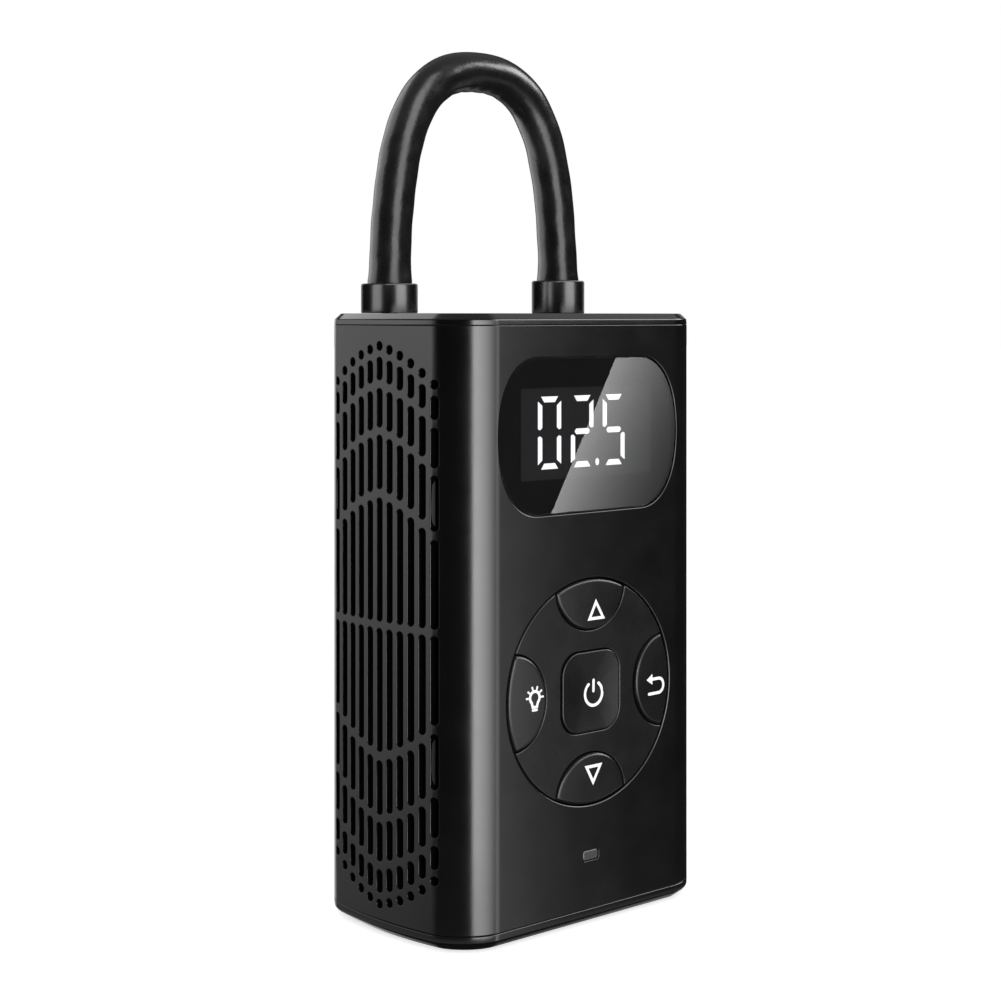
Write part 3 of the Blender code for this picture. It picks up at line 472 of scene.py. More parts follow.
def rolled(inset, z, radius, start, end, steps=4):
    """Sections round a convex edge: angles from outward (0) to up (90) or down (-90)."""
    sections = []
    for i in range(steps + 1):
        a = math.radians(start + (end - start) * i / steps)
        sections.append((inset + radius * (1 - math.cos(a)), z + radius * math.sin(a)))
    return sections


def lens_outline(grow=0.0, steps=24):
    """A wide window: straight top and bottom, superelliptic ends of full height."""
    power = 2 / 2.2
    half_w, half_h = LENS_HALF[0] + grow, LENS_HALF[1] + grow
    points = []
    for i in range(2 * steps + 1):
        a = math.radians(-90 + 90 * i / steps)
        c, s = abs(math.cos(a)) ** power, math.copysign(abs(math.sin(a)) ** power, math.sin(a))
        points.append((half_w - LENS_CORNER + LENS_CORNER * c, half_h * s))
    return points + [(-x, z) for x, z in reversed(points)]


def key_outline(turn, grow=0.0, rim=FIELD_RADIUS, steps=56):
    """A key at the edge of the round field: an ellipse cut off by the field's rim."""
    semi_t, semi_r = KEY_SEMI[0] + grow, KEY_SEMI[1] + grow

    def ellipse(a):
        return semi_t * math.sin(a), KEY_DISTANCE - semi_r * math.cos(a)

    low, high = 0.0, math.pi
    for _ in range(40):
        middle = (low + high) / 2
        if math.hypot(*ellipse(middle)) < rim:
            low = middle
        else:
            high = middle
    points = [ellipse(-low + 2 * low * i / steps) for i in range(steps + 1)]
    end = math.degrees(math.atan2(points[-1][1], points[-1][0]))
    points += [*arc((0, 0), rim, end, 180 - end, steps // 2)][1:-1]
    c, s = math.cos(math.radians(turn)), math.sin(math.radians(turn))
    return [(x * c - y * s, x * s + y * c) for x, y in points]


def lip(radius):
    """(expansion, depth) of a cutter's rings that round a hole's edge."""
    outer = [(radius + 0.25 * MM, -0.06 * MM)]
    for turn in (25, 50, 75, 90):
        a = math.radians(turn)
        outer.append((radius * (1 - math.sin(a)), radius * (1 - math.cos(a))))
    return outer


# ---------------------------------------------------------------- body


def front_cutter(name, outline, height, radius, deeper=None):
    """A cutter through the front wall with a rounded lip. outline(grow) gives its section."""
    steps = lip(radius) + (deeper or [(0, 3.4 * MM)])
    rings = [[(x, FRONT + depth, height + z) for x, z in outline(grow)] for grow, depth in steps]
    return loft(name, rings, "shell_black")


def vent_ring(side, column, low, high, grow, depth):
    """A slot's section in the side wall: a stadium, or a circle when low equals high."""
    y, radius = VENT_MIDDLE + column * VENT_PITCH, VENT_HALF + grow
    if high > low:
        parts = max(1, round((high - low) / VENT_PART))
        run = [low + (high - low) * i / parts for i in range(1, parts)]
        flat = [*arc((y, high), radius, 0, 180, VENT_STEPS), *((y - radius, z) for z in reversed(run))]
        flat += [*arc((y, low), radius, 180, 360, VENT_STEPS), *((y + radius, z) for z in run)]
    else:
        flat = circle(radius, 2 * VENT_STEPS, (y, low))
    return [(side * (side_x(a) - depth), a, z) for a, z in flat]


def vent_cutter(side):
    """All slots of one side. Rows sag away from the middle column; mid height is straight."""
    bm = bmesh.new()
    steps = lip(VENT_LIP) + [(0, 3.2 * MM)]
    for column in range(-VENT_COLUMNS, VENT_COLUMNS + 1):
        k = abs(column)
        sag = (0.57 * k + 0.18 * k * k) * MM
        runs = [(VENT_DOT - sag, VENT_DOT - sag)]
        for inner, outer in VENT_SPANS:
            start = inner if inner < 1 * MM else inner - sag
            runs.append((start + VENT_HALF, outer - sag - VENT_HALF))
        for low, high in runs:
            for upper in (True, False):
                ends = (VENT_CENTRE + low, VENT_CENTRE + high) if upper else (VENT_CENTRE - high, VENT_CENTRE - low)
                add_loft(bm, [vent_ring(side, column, *ends, grow, depth) for grow, depth in steps])
    return new_object("vent_cutter", bm, "shell_black")


def build_sleeve():
    """The body's sleeve with rolled ends, side vents and the openings of its front and rear."""
    sections = rolled(0, SEAM_LOW + EDGE, EDGE, -90, 0) + rolled(0, SEAM_HIGH - EDGE, EDGE, 0, 90)
    sections += [(WALL, SEAM_HIGH), (WALL, SEAM_LOW)]
    sleeve = body_loft("sleeve", sections, "shell_black", closed=True)
    step = [(0, LENS_LEDGE), (-LENS_LAP, LENS_LEDGE), (-LENS_LAP, 3.4 * MM)]
    window = front_cutter("window", lambda g: lens_outline(0.12 * MM + g), LENS_Z, 0.28 * MM, step)
    field = front_cutter("field", lambda g: circle(FIELD_RADIUS + 0.1 * MM + g), KEYS_Z, 0.38 * MM)
    low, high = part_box("indicator_lens")
    half = (high - low) / 2
    light = front_cutter("light", lambda g: rounded_rect(half.x + 0.1 * MM + g, half.z + 0.1 * MM + g, 0.6 * MM + g),
                         (low.z + high.z) / 2, 0.14 * MM)
    sleeve = cut(sleeve, window, field, light, port_cutter(), vent_cutter(-1), vent_cutter(1))
    return place(soften(sleeve), "housing", "shell_black", "body_shell")


def port_cutter():
    """The charging port's hole in the rear wall, with a rounded lip."""
    low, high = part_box("usb_port")
    half = (high - low) / 2
    centre = (low.z + high.z) / 2
    rings = []
    for grow, depth in lip(0.35 * MM) + [(0, 3.4 * MM)]:
        outline = rounded_rect(half.x + 0.1 * MM + grow, half.z + 0.1 * MM + grow, half.z + 0.1 * MM + grow - 0.02 * MM)
        rings.append([(x, REAR - depth, centre + z) for x, z in outline])
    return loft("port_cutter", rings, "shell_black")


def build_top_cap():
    """Top cap: a drafted rim, a chamfer and a flat top with the hose's sockets and the lamp."""
    rim = SEAM_HIGH + SEAM_GAP
    inset, tall = TOP_CHAMFER
    shoulder = HEIGHT - tall
    lip_in = CAP_LIP_INSET
    sections = [(lip_in, SEAM_HIGH - CAP_LIP_REACH), (lip_in, rim)]
    sections += rolled(0, rim + 0.1 * MM, 0.1 * MM, -90, 0, 3)
    sections += [(CAP_DRAFT, shoulder - 0.2 * MM), (CAP_DRAFT + 0.01 * MM, shoulder - 0.08 * MM)]
    sections += [(CAP_DRAFT + 0.055 * MM, shoulder + 0.03 * MM), (CAP_DRAFT + 0.12 * MM, shoulder + 0.11 * MM)]
    sections += [(CAP_DRAFT + 0.22 * MM, shoulder + 0.2 * MM)]
    sections += [(inset - 0.12 * MM, HEIGHT - 0.09 * MM), (inset - 0.02 * MM, HEIGHT - 0.03 * MM)]
    sections += [(inset + 0.14 * MM, HEIGHT)]
    cap = body_loft("top_cover", sections, "cap_black")
    hollow = lip_in + CAP_SKIN
    well = body_loft("well", [(hollow, SEAM_HIGH - 2 * CAP_LIP_REACH), (hollow, HEIGHT - CAP_FLOOR)], "cap_black")
    cutters = [well]
    steps = [(0, -CAP_FLOOR * 4)] + [(g, -d) for g, d in reversed(lip(0.25 * MM))]
    for x in (-HOSE_X, HOSE_X):
        rings = [[(a, b, HEIGHT + d) for a, b in circle(5.3 * MM + g, 72, (x, HOSE_Y))] for g, d in steps]
        cutters.append(loft("socket_cutter", rings, "cap_black"))
    low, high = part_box("lamp_lens")
    half = (high - low) / 2
    lamp = []
    for g, d in steps:
        outline = rounded_rect(half.x + 0.1 * MM + g, half.y + 0.1 * MM + g, half.y + 0.08 * MM + g)
        lamp.append([(a, HOSE_Y + b, HEIGHT + d) for a, b in outline])
    cutters.append(loft("lamp_cutter", lamp, "cap_black"))
    cap = soften(cut(cap, *cutters), 22)
    return place(cap, "housing", "cap_black", "top_cap")


def build_bottom_cap():
    """Bottom cap: an upright rim and a deep chamfer down to the underside, with screw wells."""
    rim = SEAM_LOW - SEAM_GAP
    inset, tall = BASE_CHAMFER
    lip_in = CAP_LIP_INSET
    hollow = lip_in + CAP_SKIN
    sections = [(inset + 0.25 * MM, BASE), (inset - 0.05 * MM, BASE + 0.08 * MM)]
    sections += [(0.32 * MM, BASE + tall - 0.2 * MM), (0.1 * MM, BASE + tall + 0.08 * MM)]
    sections += [(0.02 * MM, BASE + tall + 0.35 * MM)]
    sections += rolled(0, rim - EDGE, EDGE, 0, 90)
    sections += [(lip_in, rim), (lip_in, SEAM_LOW + CAP_LIP_REACH)]
    cap = body_loft("bottom_cover", sections, "cap_black")
    well = body_loft("well", [(hollow, BASE + CAP_FLOOR), (hollow, SEAM_LOW + 2 * CAP_LIP_REACH)], "cap_black")
    pad_low, pad_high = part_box("base_pad")
    edge = pad_inset(pad_high)
    recess = body_loft("recess", [(edge - 0.12 * MM, -1 * MM), (edge - 0.12 * MM, BASE + 0.7 * MM)], "cap_black")
    cutters = [well, recess]
    for i in range(4):
        low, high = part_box(f"case_screw_{i + 1}")
        x, y = (low.x + high.x) / 2, (low.y + high.y) / 2
        profile = ((2.2, -1), (2.2, BASE / MM + 1.6), (1.25, BASE / MM + 1.6), (1.25, 9))
        rings = [[(a, b, z * MM) for a, b in circle(r * MM, 40, (x, y))] for r, z in profile]
        cutters.append(loft("screw_cutter", rings, "cap_black"))
    cap = soften(cut(cap, *cutters), 28)
    place(cap, "housing", "cap_black", "bottom_cap")
    sections = [(edge + 0.3 * MM, pad_low.z), (edge + 0.1 * MM, pad_low.z + 0.06 * MM)]
    sections += [(edge, pad_low.z + 0.2 * MM), (edge, pad_high.z)]
    pad = soften(body_loft("foot_pad", sections, "seal_rubber"))
    place(pad, "housing", "seal_rubber", "base_pad")


def pad_inset(corner):
    """How far the pad's edge lies inside the body's plan, from its front edge."""
    return HALF_DEPTH - corner.y


def build_screens():
    """Dust screens: curved woven sheets just inside the vents."""
    for side, name in ((-1, "vent_screen_left"), (1, "vent_screen_right")):
        low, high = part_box(name)
        steps = 40
        rings = []
        for z in (low.z, high.z):
            run = [low.y + (high.y - low.y) * i / steps for i in range(steps + 1)]
            face = [(side * (side_x(y) - 2.4 * MM), y, z) for y in run]
            back = [(side * (side_x(y) - 2.75 * MM), y, z) for y in reversed(run)]
            rings.append(face + back)
        screen = soften(loft(name.replace("vent_", "woven_"), rings, "mesh_black"))
        place(screen, "housing", "seal_rubber", name)


# ---------------------------------------------------------------- display


def flat_plate(name, outline, front, back, look, height=0.0, edge=0.0):
    """A plate behind the front face with an optional rounded front edge. outline(grow) is its section."""
    steps = [(0, back), (0, front + edge)]
    for turn in (25, 50, 75, 90):
        if edge:
            a = math.radians(turn)
            steps.append((-edge * (1 - math.cos(a)), front + edge * (1 - math.sin(a))))
    if not edge:
        steps = [(0, back), (0, front)]
    rings = [[(x, y, height + z) for x, z in outline(grow)] for grow, y in steps]
    return loft(name, rings, look)


def build_display():
    """Glass over a black panel with a faint painted glow, a paler screen and lit digits."""
    glass_back = FRONT + 0.9 * MM
    glass = flat_plate("display_glass", lens_outline, FRONT + 0.06 * MM, glass_back, "smoked_glass", LENS_Z, 0.22 * MM)
    place(soften(glass, 25), "housing", "smoked_glass", "display_lens")
    mask_front, mask_back = glass_back + 0.2 * MM, FRONT + LENS_LEDGE - 0.03 * MM
    inner = -LENS_LAP - 0.1 * MM
    steps = ((inner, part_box("display_module")[1].y), (inner, mask_back), (-0.06 * MM, mask_back), (-0.06 * MM, mask_front))
    # The black panel's faint glow is painted light: the panel is no lamp.
    panel = loft("display_panel", [[(x, y, LENS_Z + z) for x, z in lens_outline(g)] for g, y in steps], "panel_black_painted_glow")
    place(soften(panel), "housing", "grey_plastic", "display_module")
    w, h = (LCD_HIGH[0] - LCD_LOW[0]) / 2, (LCD_HIGH[1] - LCD_LOW[1]) / 2
    cx, cz = (LCD_HIGH[0] + LCD_LOW[0]) / 2, (LCD_HIGH[1] + LCD_LOW[1]) / 2
    lcd = flat_plate("lcd_screen", lambda g: [(cx + x, z) for x, z in rounded_rect(w, h, 0.4 * MM)],
                     mask_front - 0.05 * MM, mask_front + 0.02 * MM, "lcd_grey", cz)
    place(soften(lcd), "housing", "grey_plastic")
    front = mask_front - 0.1 * MM
    for name, x, segments in DIGITS:
        place(digit(name, x, segments, front), "housing", "clear_lens")
    point = flat_plate("decimal_point", lambda g: [(2.8 * MM + 0.5 * MM * a, 0.72 * MM * b) for a, b in circle(1, 24)],
                       front, front + 0.04 * MM, "lit_white", DIGIT_LOW + 0.85 * MM)
    place(point, "housing", "clear_lens")


def digit(name, left, segments, front):
    """A seven-segment digit: trapezoid ends, mitred uprights and a pointed middle bar."""
    w, h, t = DIGIT_WIDTH, DIGIT_HIGH - DIGIT_LOW, STROKE
    bar, mitre, start = 1.15 * MM, 0.86 * MM, 0.95 * MM
    half = h / 2
    shapes = {
        "a": [(mitre, h), (w - mitre, h), (w - mitre - 0.85 * MM, h - bar), (mitre + 0.85 * MM, h - bar)],
        "g": [(1.05 * MM, half), (1.5 * MM, half + bar / 2), (w - 1.5 * MM, half + bar / 2), (w - 1.05 * MM, half),
              (w - 1.5 * MM, half - bar / 2), (1.5 * MM, half - bar / 2)],
        "f": [(0, h - start), (t, h - start - 0.85 * MM), (t, half + 1.05 * MM), (t / 2, half + 0.6 * MM),
              (0, half + 0.8 * MM)],
    }
    shapes["d"] = [(x, h - z) for x, z in shapes["a"]]
    shapes["e"] = [(x, h - z) for x, z in shapes["f"]]
    shapes["b"] = [(w - x, z) for x, z in shapes["f"]]
    shapes["c"] = [(w - x, h - z) for x, z in shapes["f"]]
    bm = bmesh.new()
    for key in segments:
        ring = [(left + x, DIGIT_LOW + z) for x, z in shapes[key]]
        add_loft(bm, [[(x, y, z) for x, z in ring] for y in (front + 0.04 * MM, front)])
    return new_object(name, bm, "lit_white")


def build_indicator():
    low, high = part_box("indicator_lens")
    half = (high - low) / 2
    lens = flat_plate("indicator_window", lambda g: rounded_rect(half.x + g, half.z + g, 0.55 * MM + g), low.y,
                      high.y, "smoked_lens", (low.z + high.z) / 2, 0.3 * MM)
    place(soften(lens, 25), "housing", "clear_lens", "indicator_lens")


# ---------------------------------------------------------------- keys


def key_top(turn):
    """(x, z) to y of a key's face: raised at its inner side, level with the field at the rim, crowned."""
    a = math.radians(turn)
    out = Vector((-math.sin(a), math.cos(a)))
    centre = out * KEY_DISTANCE * 0.8

    def height(x, z):
        p = Vector((x, z))
        along = p.dot(out)
        rise = 0.62 * MM - 0.034 * (along - (KEY_DISTANCE - KEY_SEMI[1]))
        crown = 0.0025 / MM * (p - centre).length_squared
        return FRONT + 0.1 * MM - rise + crown

    return height


def power_outline(grow):
    half = POWER_HALF + grow
    return rounded_rect(half, half, max(POWER_RADIUS + grow, 0.8 * half * POWER_RADIUS / POWER_HALF))


def power_top(x, z):
    """A shallow round dish in a square key."""
    return FRONT - 0.02 * MM + 0.45 * MM - (x * x + z * z) / (2 * 64 * MM)


def raised_key(name, outline, top, edge, sunk, insets, body, node_name):
    """A key whose face follows top(x, z) inside a rounded edge. outline(grow) is its section."""
    bm = bmesh.new()
    rings = [[(x, KEY_BACK, KEYS_Z + z) for x, z in outline(0)]]
    for turn in (0, 20, 40, 60, 75, 90):
        a = math.radians(turn)
        ring = []
        for x, z in outline(-edge * (1 - math.cos(a))):
            ring.append((x, top(x, z) + sunk * (1 - math.sin(a)), KEYS_Z + z))
        rings.append(ring)
    for inset in insets:
        rings.append([(x, top(x, z), KEYS_Z + z) for x, z in outline(-edge - inset * MM)])
    add_loft(bm, rings)
    key = new_object(name, bm, "key_rubber")
    return place(soften(key, 50, weighted=False), body, "key_rubber", node_name)


def build_field():
    """The round field behind the keys, with a rounded rim and rounded key openings."""
    low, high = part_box("key_frame")
    field = flat_plate("key_field", lambda g: circle(FIELD_RADIUS + g), low.y, high.y, "key_rubber", KEYS_Z, 0.42 * MM)
    cutters = []
    for turn in KEYS.values():
        cutters.append(front_cutter("key_cutter", lambda g, t=turn: key_outline(t, KEY_GAP + g, FIELD_RADIUS + 1 * MM),
                                    KEYS_Z, 0.3 * MM))
    cutters.append(front_cutter("power_cutter", lambda g: power_outline(KEY_GAP + g), KEYS_Z, 0.35 * MM))
    for cutter in cutters:
        cutter.location.y = low.y - FRONT
    bpy.context.view_layer.update()
    field = soften(cut(field, *cutters), 30)
    return place(field, "housing", "key_rubber", "key_frame")


def build_keys():
    build_field()
    for name, turn in KEYS.items():
        raised_key(f"{name}_key_cap", lambda g, t=turn: key_outline(t, g, FIELD_RADIUS - 0.1 * MM + g),
                   key_top(turn), 0.7 * MM, 0.7 * MM, (0.25, 0.8, 1.6, 2.6, 3.6), f"{name}_key", f"{name}_button")
    raised_key("power_key_cap", power_outline, power_top, 0.35 * MM, 0.3 * MM, (0.2, 0.7, 1.5, 2.5, 3.5, 4.5, 5.5, 6.4, 7.2),
               "power_key", "power_button")
    build_symbols()


# ---------------------------------------------------------------- symbols


def ribbon(bm, path, width, top, closed=False):
    """A line of constant width on a surface, with round ends; path is in (x, z) from the field's middle."""
    points = [Vector(p) for p in path]
    count = len(points)
    left, right = [], []
    for i, here in enumerate(points):
        before = points[i - 1] if closed or i else here
        after = points[(i + 1) % count] if closed or i < count - 1 else here
        first, second = (here - before), (after - here)
        first = first.normalized() if first.length else second.normalized()
        second = second.normalized() if second.length else first
        mean = (first + second).normalized()
        reach = width / 2 / max(0.35, mean.dot(first))
        side = Vector((-mean.y, mean.x)) * reach
        left.append(here + side)
        right.append(here - side)
    loops = []
    if closed:
        strips = [[left[i], left[(i + 1) % count], right[(i + 1) % count], right[i]] for i in range(count)]
    else:
        strips = [[left[i], left[i + 1], right[i + 1], right[i]] for i in range(count - 1)]
        for here, there in ((points[0], points[1]), (points[-1], points[-2])):
            away = (here - there).normalized()
            start = math.degrees(math.atan2(away.y, away.x))
            loops.append([Vector(p) for p in arc(here, width / 2, start - 90, start + 90, 8)])
    for loop in strips + loops:
        raised_patch(bm, loop, top)
    return bm


def raised_patch(bm, loop, top, proud=0.035 * MM):
    """A thin raised shape whose face follows the surface beneath."""
    rings = []
    for lift in (-0.05 * MM, proud):
        rings.append([(p[0], top(p[0], p[1]) - lift, KEYS_Z + p[1]) for p in loop])
    add_loft(bm, rings)


def triangle(centre, half, tall, way):
    x, z = centre
    return [(x - half, z - way * tall / 2), (x + half, z - way * tall / 2), (x, z + way * tall / 2)]


def dense(path, pieces=6):
    """Extra points along a closed path."""
    points = []
    for (ax, az), (bx, bz) in zip(path, path[1:] + path[:1]):
        points += [(ax + (bx - ax) * i / pieces, az + (bz - az) * i / pieces) for i in range(pieces)]
    return points


def build_symbols():
    """White symbols with a painted glow: triangles, a lamp with rays, a returning arrow and the power sign."""
    line = 0.62 * MM
    for name, x, z, way in (("up", 1.1, 16.4, 1), ("down", 0.3, -16.8, -1)):
        bm = bmesh.new()
        path = triangle((x * MM, z * MM), 1.95 * MM, 3.3 * MM, way)
        ribbon(bm, path, line, key_top(KEYS[name]), closed=True)
        place(new_object(f"{name}_symbol", bm, "symbol_white_painted_glow"), f"{name}_key", "clear_lens")
    build_power_symbol(line)
    build_lamp_symbol()
    build_return_symbol(line)


def build_power_symbol(line):
    bm = bmesh.new()
    centre = (1.1 * MM, -0.65 * MM)
    ribbon(bm, list(arc(centre, 2.4 * MM, 125, 415, 40)), line, power_top)
    ribbon(bm, [(centre[0], centre[1] + 0.5 * MM), (centre[0], centre[1] + 2.7 * MM)], line, power_top)
    place(new_object("power_symbol", bm, "symbol_white_painted_glow"), "power_key", "clear_lens")


def build_lamp_symbol():
    bm = bmesh.new()
    top = key_top(KEYS["light"])
    x, z = -15.95 * MM, 0.6 * MM
    glass = list(arc((x, z + 0.15 * MM), 1.25 * MM, -50, 230, 24))
    glass += [(x - 0.55 * MM, z - 1.7 * MM), (x + 0.55 * MM, z - 1.7 * MM)]
    ribbon(bm, glass, 0.55 * MM, top, closed=True)
    ribbon(bm, [(x - 0.55 * MM, z - 2.3 * MM), (x + 0.55 * MM, z - 2.3 * MM)], 0.45 * MM, top)
    for turn in (0, 36, 72, 108, 144, 180):
        a = math.radians(turn)
        ray = [(x + r * MM * math.cos(a), z + 0.15 * MM + r * MM * math.sin(a)) for r in (1.75, 2.15)]
        ribbon(bm, ray, 0.4 * MM, top)
    place(new_object("light_symbol", bm, "symbol_white_painted_glow"), "light_key", "clear_lens")


def build_return_symbol(line):
    bm = bmesh.new()
    top = key_top(KEYS["back"])
    low, high, radius = -2.7 * MM, 0.3 * MM, 1.5 * MM
    middle, bend = (low + high) / 2, 19.6 * MM
    path = [(17.2 * MM, high)] + list(arc((bend, middle), radius, 90, -90, 20)) + [(16.6 * MM, low)]
    ribbon(bm, path, line, top)
    head = [(15.85 * MM, high), (17.6 * MM, high + 1.1 * MM), (17.6 * MM, high - 1.1 * MM)]
    raised_patch(bm, [Vector(p) for p in head], top, 0.04 * MM)
    place(new_object("back_symbol", bm, "symbol_white_painted_glow"), "back_key", "clear_lens")


# ---------------------------------------------------------------- hose and its ends


def hose_points(count):
    """(place, direction) along the hose's middle line: two Bezier arcs that meet at the top."""
    leg, top = Vector((0, 0, HOSE_LEG_HANDLE)), Vector((HOSE_TOP_HANDLE, 0, 0))
    start, apex = Vector((-HOSE_X, HOSE_Y, HOSE_END)), Vector((0, HOSE_Y, HOSE_TOP))
    end = Vector((HOSE_X, HOSE_Y, HOSE_END))
    arcs = ((start, start + leg, apex - top, apex), (apex, apex + top, end + leg, end))
    found = []
    for n, (a, b, c, d) in enumerate(arcs):
        for i in range(1 if n else 0, count + 1):
            t = i / count
            u = 1 - t
            here = a * u**3 + b * 3 * u * u * t + c * 3 * u * t * t + d * t**3
            way = (b - a) * 3 * u * u + (c - b) * 6 * u * t + (d - c) * 3 * t * t
            found.append((here, way.normalized()))
    return found


def hose_radius(here):
    """The hose swells a little where it enters a collar, and is drawn in inside it."""
    above = here.z - COLLAR_TOPS["loose_grip" if here.x < 0 else "outlet_grip"]
    if above < 0:
        return HOSE_RADIUS + HOSE_SWELL * max(0.0, 1 + above / (1.2 * MM))
    return HOSE_RADIUS + HOSE_SWELL * math.exp(-above / (2.2 * MM))


def build_hose():
    """The looped hose, gently uneven, arching from the body to its loose end."""
    across = Vector((0, 1, 0))
    rings = []
    for here, way in hose_points(110):
        side = across.cross(way).normalized()
        ring = []
        for i in range(56):
            a = 2 * math.pi * i / 56
            wave = math.sin(here.z / MM * 0.62 + 2 * a) * math.sin(here.x / MM * 0.45 + here.z / MM * 0.2 + a)
            fold = max(0.0, way.x) ** 2 * max(0.0, math.sin(a)) ** 3 * math.sin(here.x / MM * 1.5)
            reach = hose_radius(here) + 0.06 * MM * wave + 0.05 * MM * fold
            ring.append(here + (across * math.cos(a) + side * math.sin(a)) * reach)
        rings.append(ring)
    hose = soften(loft("looped_hose", rings, "hose_rubber"), 40, weighted=False)
    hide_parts("hose")
    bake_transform(hose)


def build_collars():
    """Glossy collars with a rounded rim, and a foot rounded in at its lower edge."""
    r = COLLAR_RADIUS / MM
    foot = HEIGHT / MM + 0.06
    for name, x, body, node_name in (("outlet_grip", HOSE_X, "housing", "outlet_collar"),
                                     ("loose_grip", -HOSE_X, "hose_end", "free_collar")):
        top = COLLAR_TOPS[name] / MM
        section = [(r - 0.15, foot), (r - 0.02, foot + 0.1), (r, foot + 0.25), (r, top - 0.45), (r - 0.06, top - 0.22)]
        section += [(r - 0.2, top - 0.07), (r - 0.42, top), (r - 0.7, top), (r - 0.88, top - 0.06)]
        section += [(r - 0.96, top - 0.2), (r - 1.0, top - 1.2), (r - 1.2, foot + 3), (r - 1.2, foot)]
        place(turned(name, in_mm(section), (x, HOSE_Y), "collar_black"), body, "collar_black", node_name)


def build_chuck():
    """The loose end below its collar: a turned brass chuck with two shallow grooves and a narrow neck."""
    low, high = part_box("valve_chuck")
    foot, top = low.z / MM, high.z / MM
    flange = 121.2
    section = [(0.8, top), (0.8, 119), (4.0, 119), (4.0, foot + 0.5), (4.3, foot), (4.7, foot), (5.0, foot + 0.3)]
    section += [(5.0, 113.2), (4.8, 113.4), (4.8, 113.8), (5.0, 114), (5.0, flange - 0.6), (4.75, flange - 0.4)]
    section += [(4.75, flange), (5.0, flange + 0.2), (5.0, 123.8), (4.85, 123.95), (1.7, 123.95), (1.7, top)]
    chuck = turned("brass_chuck", in_mm(section), (-HOSE_X, HOSE_Y), "brass", steps=72)
    place(chuck, "hose_end", "brass", "valve_chuck")


# ---------------------------------------------------------------- small outer parts


def build_lamp():
    """The lamp's lens in the top, with a bevelled upper edge."""
    low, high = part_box("lamp_lens")
    half = (high - low) / 2
    outline = rounded_rect(half.x, half.y, half.y - 0.01 * MM)
    inner = rounded_rect(half.x - 0.25 * MM, half.y - 0.25 * MM, half.y - 0.26 * MM)
    rings = [[(x, HOSE_Y + y, z) for x, y in ring] for ring, z in
             ((outline, low.z), (outline, high.z - 0.2 * MM), (inner, high.z))]
    place(soften(loft("lamp_window", rings, "clear_lens"), 30), "housing", "clear_lens", "lamp_lens")


def build_port():
    """The charging port: a drawn steel mouth round a plastic tongue."""
    low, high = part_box("usb_port")
    half = (high - low) / 2
    centre = (low.z + high.z) / 2
    mouth = ((0, low.y), (0, high.y - 0.1 * MM), (-0.08 * MM, high.y), (-0.32 * MM, high.y), (-0.4 * MM, high.y - 0.1 * MM),
             (-0.4 * MM, low.y + 1 * MM))
    rings = []
    for grow, y in mouth:
        outline = rounded_rect(half.x + grow, half.z + grow, half.z + grow - 0.02 * MM)
        rings.append([(x, y, centre + z) for x, z in outline])
    place(soften(loft("port_mouth", rings, "steel")), "housing", "steel", "usb_port")
    tongue = [[(x, y, centre + z) for x, z in rounded_rect(3.3 * MM, 0.36 * MM, 0.3 * MM)] for y in
              (low.y + 0.9 * MM, high.y - 0.7 * MM)]
    place(soften(loft("port_tongue", tongue, "grey_plastic")), "housing", "grey_plastic")


def dress_frame():
    """Every CAD node that stays visible gets its slot's surface."""
    slots = {part["node"]: part["material_slot"] for part in frame["record"]["subparts"]}
    for name, obj in frame["nodes"].items():
        obj.data.materials.clear()
        obj.data.materials.append(SURFACES[slots[name]])


# ---------------------------------------------------------------- stage


def direction(azimuth, elevation):
    a, e = math.radians(azimuth), math.radians(elevation)
    return Vector((math.sin(a) * math.cos(e), -math.cos(a) * math.cos(e), math.sin(e)))


def softbox(name, azimuths, elevations, radiance, receivers, across=None, upward=None, distance=3.0):
    """A rectangular light that fills a range of directions seen from the object.

    across and upward shade it along its width and height, as (brighter end, power, floor).
    """
    a0, a1 = azimuths
    e0, e1 = elevations
    way = direction((a0 + a1) / 2, (e0 + e1) / 2)
    width = 2 * distance * math.tan(math.radians((a1 - a0) / 2)) * math.cos(math.radians((e0 + e1) / 2))
    tall = 2 * distance * math.tan(math.radians((e1 - e0) / 2))
    turn = (-way).to_track_quat("-Z", "Y").to_matrix()
    centre = Vector((0, 0, HEIGHT * 0.6)) + way * distance
    return card(name, centre, turn, (width, tall), radiance, receivers, across, upward)


